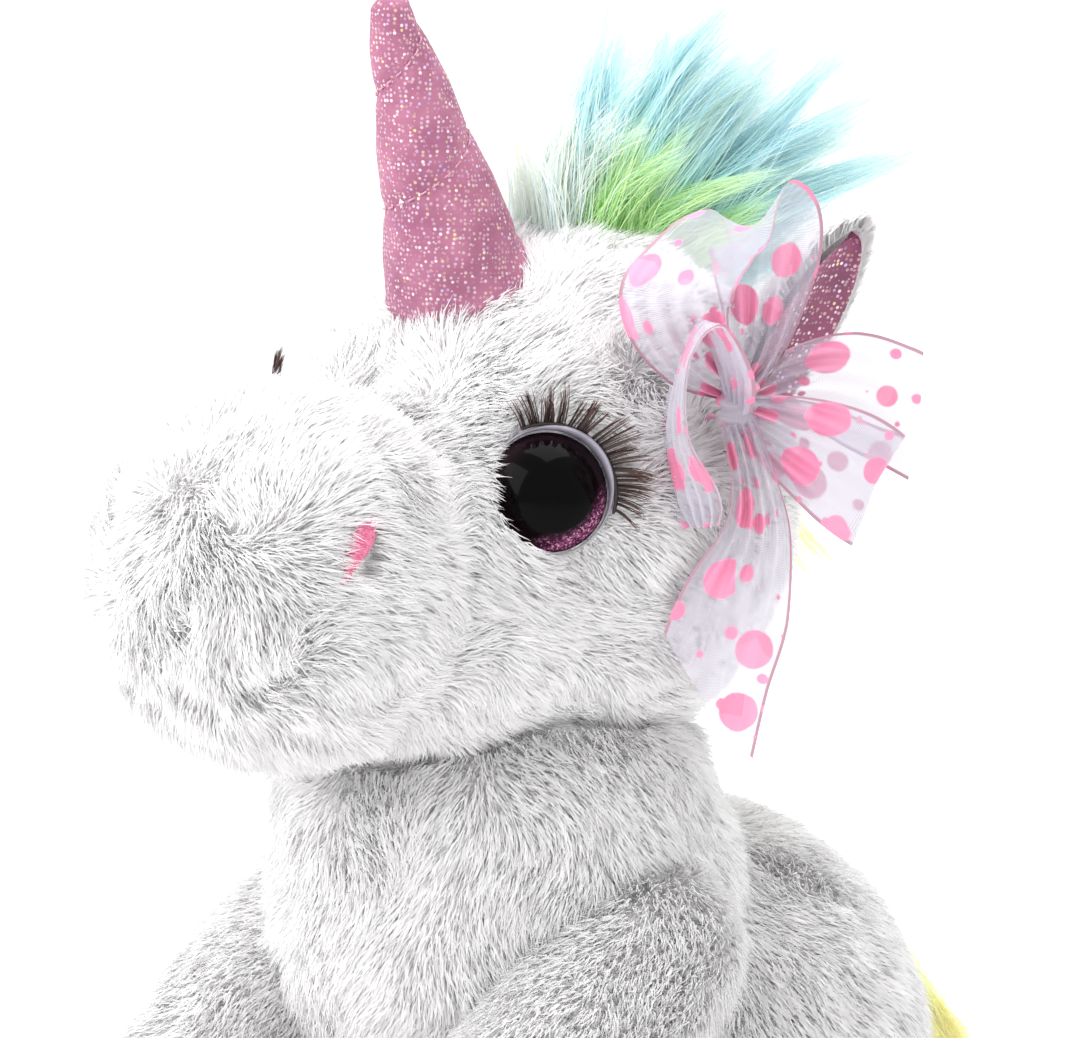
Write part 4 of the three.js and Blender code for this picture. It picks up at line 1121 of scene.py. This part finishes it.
for i, (name, (paint, stands_for, slot, bunches)) in enumerate(locks.items()):
    pick = np.random.default_rng(500 + i)
    gathered = None
    for count, root_a, root_b, bend, tip, spread, root_wide in bunches:
        lines = lock(pick, int(count * thick), root_a, root_b, bend, tip, spread * MM, root_wide * MM)
        gathered = lines if gathered is None else [np.concatenate(pair) for pair in zip(gathered, lines)]
    out = unit(gathered[-1] - np.array(head_at))
    wide = 0.22 * MM
    widths = [wide * (1 - 0.75 * (k / rows_of_hair) ** 1.5) for k in range(rows_of_hair - 1)]
    hair = blades(name, gathered, widths, out, 520 + i, soften=0.35, spread=1.2)
    dress(hair, paint, "head", slot, stands_for)

# ---------------------------------------------------------------- tail
# A switch of pale yellow faux fur hanging from the back of the rump.
tail_root = pivot["tail_lift"]
tail_way = Vector((0, 0.62, -0.78)).normalized()
pick = np.random.default_rng(560)
gathered = None
for count, drop in ((1500, 0.0), (1300, 4.0), (1000, -4.0)):
    root_a = tail_root + Vector((-3, -6, 1)) * MM
    root_b = tail_root + Vector((3, -6, 4)) * MM
    bend = tail_root + Vector((0, 24, 4 + drop)) * MM
    tip = tail_root + tail_way * 58 * MM + Vector((0, 0, drop)) * MM
    lines = lock(pick, int(count * thick), root_a, root_b, bend, tip, 4.2 * MM, 2.5 * MM)
    gathered = lines if gathered is None else [np.concatenate(pair) for pair in zip(gathered, lines)]
for line in gathered:
    line[:, 2] = np.maximum(line[:, 2], 1.0 * MM)
tail = blades("tail_fur", gathered, widths, unit(gathered[3] - np.array(tail_root)), 561, soften=0.35,
              spread=1.2)
dress(tail, locks["mane_nape_hair"][0], "tail", "yellow_pile", "tail_hair")

# ---------------------------------------------------------------- bow
# 25 mm organza ribbon printed with pink dots, tied in a soft bow and sewn to the head in front of the left
# ear.
bow_round = math.radians(42)
right_way = Vector((math.cos(bow_round), math.sin(bow_round), 0))
bow_out = Vector((math.sin(bow_round), -math.cos(bow_round), 0))
ribbon_wide = 24 * MM


knot_low, knot_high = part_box("bow_knot")
knot_at = (knot_low + knot_high) / 2


# places in the bow: mm to the right, out and up from a point 42, 38 and 27 mm short of the knot
def bow_spot(right, out_by, up):
    return knot_at + (right_way * (right - 42) + bow_out * (out_by - 38) + Vector((0, 0, up - 27))) * MM


# sheer woven nylon: thin threads let most light through, the dots and the woven edges don't
organza, tree, shader = material("white organza with pink dots", "#fdf6f9", 0.35, Sheen_Weight=0.5,
                                 Sheen_Roughness=0.3)
cloth = node(tree, "ShaderNodeUVMap", {"uv_map": "ClothMap"})
big = node(tree, "ShaderNodeTexVoronoi", {"feature": "F1", "voronoi_dimensions": "2D"},
           Vector=cloth.outputs["UV"], Scale=1 / 12.5, Randomness=0.62)
big_tone = node(tree, "ShaderNodeSeparateColor", Color=big.outputs["Color"])
big_size = node(tree, "ShaderNodeMapRange", Value=big_tone.outputs["Red"], To_Min=0.16, To_Max=0.36)
big_gap = maths(tree, "SUBTRACT", big_size.outputs["Result"], big.outputs["Distance"])
small = node(tree, "ShaderNodeTexVoronoi", {"feature": "F1", "voronoi_dimensions": "2D"},
             Vector=cloth.outputs["UV"], Scale=1 / 7.4, Randomness=0.7)
small_tone = node(tree, "ShaderNodeSeparateColor", Color=small.outputs["Color"])
small_size = node(tree, "ShaderNodeMapRange", Value=small_tone.outputs["Green"], To_Min=-0.08, To_Max=0.22)
small_gap = maths(tree, "SUBTRACT", small_size.outputs["Result"], small.outputs["Distance"])
small_far = maths(tree, "MULTIPLY", small_gap, 0.59)
either = maths(tree, "MAXIMUM", big_gap, small_far)
dot = ramp(tree, either, (0.0, 0.0), (0.03, 1.0))
across_uv = node(tree, "ShaderNodeSeparateXYZ", Vector=cloth.outputs["UV"])
from_middle = node(tree, "ShaderNodeMath", {"operation": "ABSOLUTE"}, i0=across_uv.outputs["X"]).outputs[0]
edge_cloth = ramp(tree, maths(tree, "MULTIPLY", from_middle, 1 / 12.0), (0.935, 0.0), (0.95, 1.0))
pink = ramp(tree, small_tone.outputs["Blue"], (0.0, "#d8799c"), (1.0, "#e08fae"))
woven = node(tree, "ShaderNodeMix", {"data_type": "RGBA"}, i0=edge_cloth, i6=linear("#c2bdcb"),
             i7=linear("#a9808f"))
paint = node(tree, "ShaderNodeMix", {"data_type": "RGBA"}, i0=dot, i6=woven.outputs[2], i7=pink)
tree.links.new(paint.outputs[2], shader.inputs["Base Color"])
weave = node(tree, "ShaderNodeTexWave", {"wave_type": "BANDS", "bands_direction": "Y"},
             Vector=cloth.outputs["UV"], Scale=1.1)
ground_cover = node(tree, "ShaderNodeMapRange", Value=weave.outputs["Fac"], To_Min=0.42, To_Max=0.56)
dot_cover = maths(tree, "MULTIPLY", dot, 0.5)
edge_cover = maths(tree, "MULTIPLY", edge_cloth, 0.55)
cover = maths(tree, "ADD", ground_cover.outputs["Result"], dot_cover)
cover_all = node(tree, "ShaderNodeMath", {"operation": "ADD", "use_clamp": True}, i0=cover, i1=edge_cover)
tree.links.new(cover_all.outputs[0], shader.inputs["Alpha"])


# One length of ribbon along a line of stations: (middle, way across, width that shows in mm). The cloth is
# 24 mm wide all along, so where less shows, the rest of it stands in pleats. slant cuts the far end at an
# angle.
def ribbon(name, stations, body, stands_for, ruffle=0.8, phase=0.0, seed=0, slant=0.0):
    pleats = 5
    fine = 400
    middles = smoothed([np.array(st[0]) for st in stations], fine)
    sides = unit(smoothed([np.array(st[1]) for st in stations], fine))
    shown = np.minimum(smoothed([[st[2] * MM] for st in stations], fine)[:, 0], ribbon_wide)
    run = np.concatenate([[0], np.cumsum(np.linalg.norm(np.diff(middles, axis=0), axis=1))])
    along = unit(np.gradient(middles, axis=0))
    sides = unit(sides - along * np.sum(sides * along, axis=1, keepdims=True))
    out = np.cross(sides, along)
    half_wave = 1 / (2 * pleats)
    stand = 0.5 * np.sqrt(np.maximum((ribbon_wide * half_wave) ** 2 - (shown * half_wave) ** 2, 0))
    rows, cols = 110, 60
    verts, flat = [], []
    for i in range(rows):
        for k in range(cols + 1):
            s = -1 + 2 * k / cols
            t = i / (rows - 1) * (1 + slant * s) / (1 + abs(slant)) * (fine - 1)
            j = min(int(t), fine - 2)
            f = t - j
            here = middles[j] * (1 - f) + middles[j + 1] * f
            wave = math.sin(run[j] / (9 * MM) + s * 1.7 + phase) * (0.3 + 0.7 * abs(s))
            open_share = shown[j] / ribbon_wide
            lift = stand[j] * math.sin(s * pleats * math.pi + phase) + ruffle * MM * wave * open_share
            verts.append(here + sides[j] * shown[j] / 2 * s + out[j] * lift)
            flat.append((s * 12.0, run[j] / MM + 37.0 * seed))
    step = cols + 1
    faces = [(i * step + k, i * step + k + 1, (i + 1) * step + k + 1, (i + 1) * step + k)
             for i in range(rows - 1) for k in range(cols)]
    made = mesh_object(name, verts, faces)
    map_corners(made, "ClothMap", flat)
    dress(made, organza, body, "organza", stands_for)
    return made


up = Vector((0, 0, 1))
ribbon("bow_upper_loop_ribbon", [
    (bow_spot(41, 38, 30), right_way * 0.9 + up * 0.2, 7),
    (bow_spot(33, 42, 37), right_way * 0.75 + up * 0.65, 16),
    (bow_spot(29, 42, 48), right_way * 0.7 + up * 0.7, 23),
    (bow_spot(36, 38, 59), right_way * 0.92 + up * 0.35 + bow_out * 0.2, 24),
    (bow_spot(45, 34, 62), right_way * 0.97 + up * 0.1 + bow_out * -0.2, 24),
    (bow_spot(46, 32, 52), right_way * 0.95 + up * -0.1, 20),
    (bow_spot(45, 34, 39), right_way * 0.9 + up * -0.1, 12),
    (bow_spot(42, 36, 30), right_way * 0.9 + up * 0.1, 7),
], "head", "bow_upper_loop", seed=1)
ribbon("bow_front_loop_ribbon", [
    (bow_spot(42, 41, 27), right_way * 0.5 + bow_out * 0.8, 6),
    (bow_spot(40, 47, 36), right_way * 0.35 + bow_out * 0.9, 15),
    (bow_spot(35, 50, 44), right_way * 0.2 + bow_out * 1.0, 22),
    (bow_spot(31, 50, 36), right_way * 0.1 + bow_out * 1.0 + up * 0.2, 23),
    (bow_spot(30, 49, 22), right_way * 0.2 + bow_out * 1.0, 22),
    (bow_spot(34, 48, 10), right_way * 0.6 + bow_out * 0.8, 17),
    (bow_spot(36, 47, 4), right_way * 0.8 + bow_out * 0.6, 8),
], "head", "bow_front_loop", ruffle=0.5, phase=1.0, seed=2)
ribbon("bow_side_loop_ribbon", [
    (bow_spot(43, 39, 26), up * 0.9 + right_way * 0.1, 7),
    (bow_spot(52, 41, 22), up * 0.95 + right_way * 0.2, 17),
    (bow_spot(62, 41, 17), up * 0.95 + right_way * 0.3, 23),
    (bow_spot(69, 38, 12), up * 0.9 + right_way * 0.35, 24),
    (bow_spot(66, 34, 13), up * 0.95 + right_way * 0.3, 23),
    (bow_spot(54, 34, 20), up * 0.95 + right_way * 0.2, 17),
    (bow_spot(44, 36, 25), up * 0.9 + right_way * 0.1, 7),
], "head", "bow_side_loop", ruffle=0.6, phase=2.0, seed=3)
ribbon("bow_side_tail_ribbon", [
    (bow_spot(44, 36, 28), up * 1.0 + right_way * 0.05, 6),
    (bow_spot(53, 33, 31), up * 1.0 + right_way * -0.1, 15),
    (bow_spot(63, 31, 31), up * 1.0 + right_way * -0.1, 22),
    (bow_spot(72, 31, 28), up * 1.0 + right_way * -0.05, 24),
    (bow_spot(81, 32, 24), up * 1.0 + right_way * -0.04, 24),
], "head", "bow_side_tail", ruffle=1.2, phase=0.5, seed=4, slant=-0.12)
ribbon("bow_hanging_tail_ribbon", [
    (bow_spot(42, 42, 24), right_way * 1.0, 7),
    (bow_spot(45.5, 43, 13), right_way * 1.0 + up * 0.1, 9),
    (bow_spot(46.5, 43.5, 2), right_way * 0.98 - up * 0.1, 14),
    (bow_spot(43, 44, -12), right_way * 0.93 - up * 0.25, 22),
    (bow_spot(39, 44, -26), right_way * 0.9 - up * 0.35, 23),
    (bow_spot(37, 43, -40), right_way * 0.85 - up * 0.4, 22),
], "ribbon_tail", "bow_hanging_tail", ruffle=0.9, phase=1.5, seed=5, slant=0.16)

# the knot: the ribbon drawn tight round itself
rows, cols = 40, 48
verts, faces = [], []
knot_uv = []
for i in range(rows + 1):
    t = -1 + 2 * i / rows
    for k in range(cols):
        a = 2 * math.pi * k / cols
        r = 4.6 * MM * (1 - 0.25 * t * t) + 0.55 * MM * math.sin(t * 11 + 0.8 * math.sin(a))
        verts.append(np.array(knot_at + right_way * r * math.cos(a) * 0.9 + bow_out * r * math.sin(a) * 0.9
                              + up * t * 5.4 * MM))
        knot_uv.append((t * 9, k * 0.6))
for i in range(rows):
    for k in range(cols):
        n = (k + 1) % cols
        faces.append((i * cols + k, i * cols + n, (i + 1) * cols + n, (i + 1) * cols + k))
faces.append(tuple(reversed(range(cols))))
faces.append(tuple(rows * cols + k for k in range(cols)))
knot = mesh_object("bow_knot_ribbon", verts, faces)
map_corners(knot, "ClothMap", knot_uv)
dress(knot, organza, "head", "organza", "bow_knot")

# ---------------------------------------------------------------- inside and behind
# Loose fibre, the pellet bag, the washers on the eye posts, the sewing at the bow and the blank label.
fibre, tree, shader = material("loose polyester fibre", "#fbfaf6", 1.0)
coords = on_object(tree)
curls = node(tree, "ShaderNodeTexNoise", Vector=coords, Scale=350.0, Detail=6.0)
coloured(tree, shader, curls.outputs["Fac"], (0.3, "#e8e6e0"), (0.7, "#ffffff"))
clear, tree, shader = material("clear nylon washer", "#e9e9e6", 0.4)
tape, tree, shader = material("white satin tape", "#fafafa", 0.45, Sheen_Weight=0.3)
coords = on_object(tree)
warp = node(tree, "ShaderNodeTexWave", {"wave_type": "BANDS"}, Vector=coords, Scale=1600.0)
raised = node(tree, "ShaderNodeBump", Strength=0.3, Distance=0.0001, Height=warp.outputs["Fac"])
tree.links.new(raised.outputs["Normal"], shader.inputs["Normal"])
bag_cloth, tree, shader = material("unbleached cotton bag cloth", "#dcd8cf", 0.9)
coords = on_object(tree)
warp = node(tree, "ShaderNodeTexWave", {"wave_type": "BANDS"}, Vector=coords, Scale=1200.0)
coloured(tree, shader, warp.outputs["Fac"], (0.0, "#cbc6bb"), (1.0, "#e6e2d9"))
for name, piece in frame["nodes"].items():
    if "stuffing" in name or name == "neck_core":
        paint = fibre
    elif name == "pellet_bag":
        paint = bag_cloth
    elif "washer" in name:
        paint = clear
    elif name == "care_label":
        paint = tape
    elif name == "bow_stitch":
        paint = pink_thread
    else:
        continue
    piece.data.materials.clear()
    piece.data.materials.append(paint)
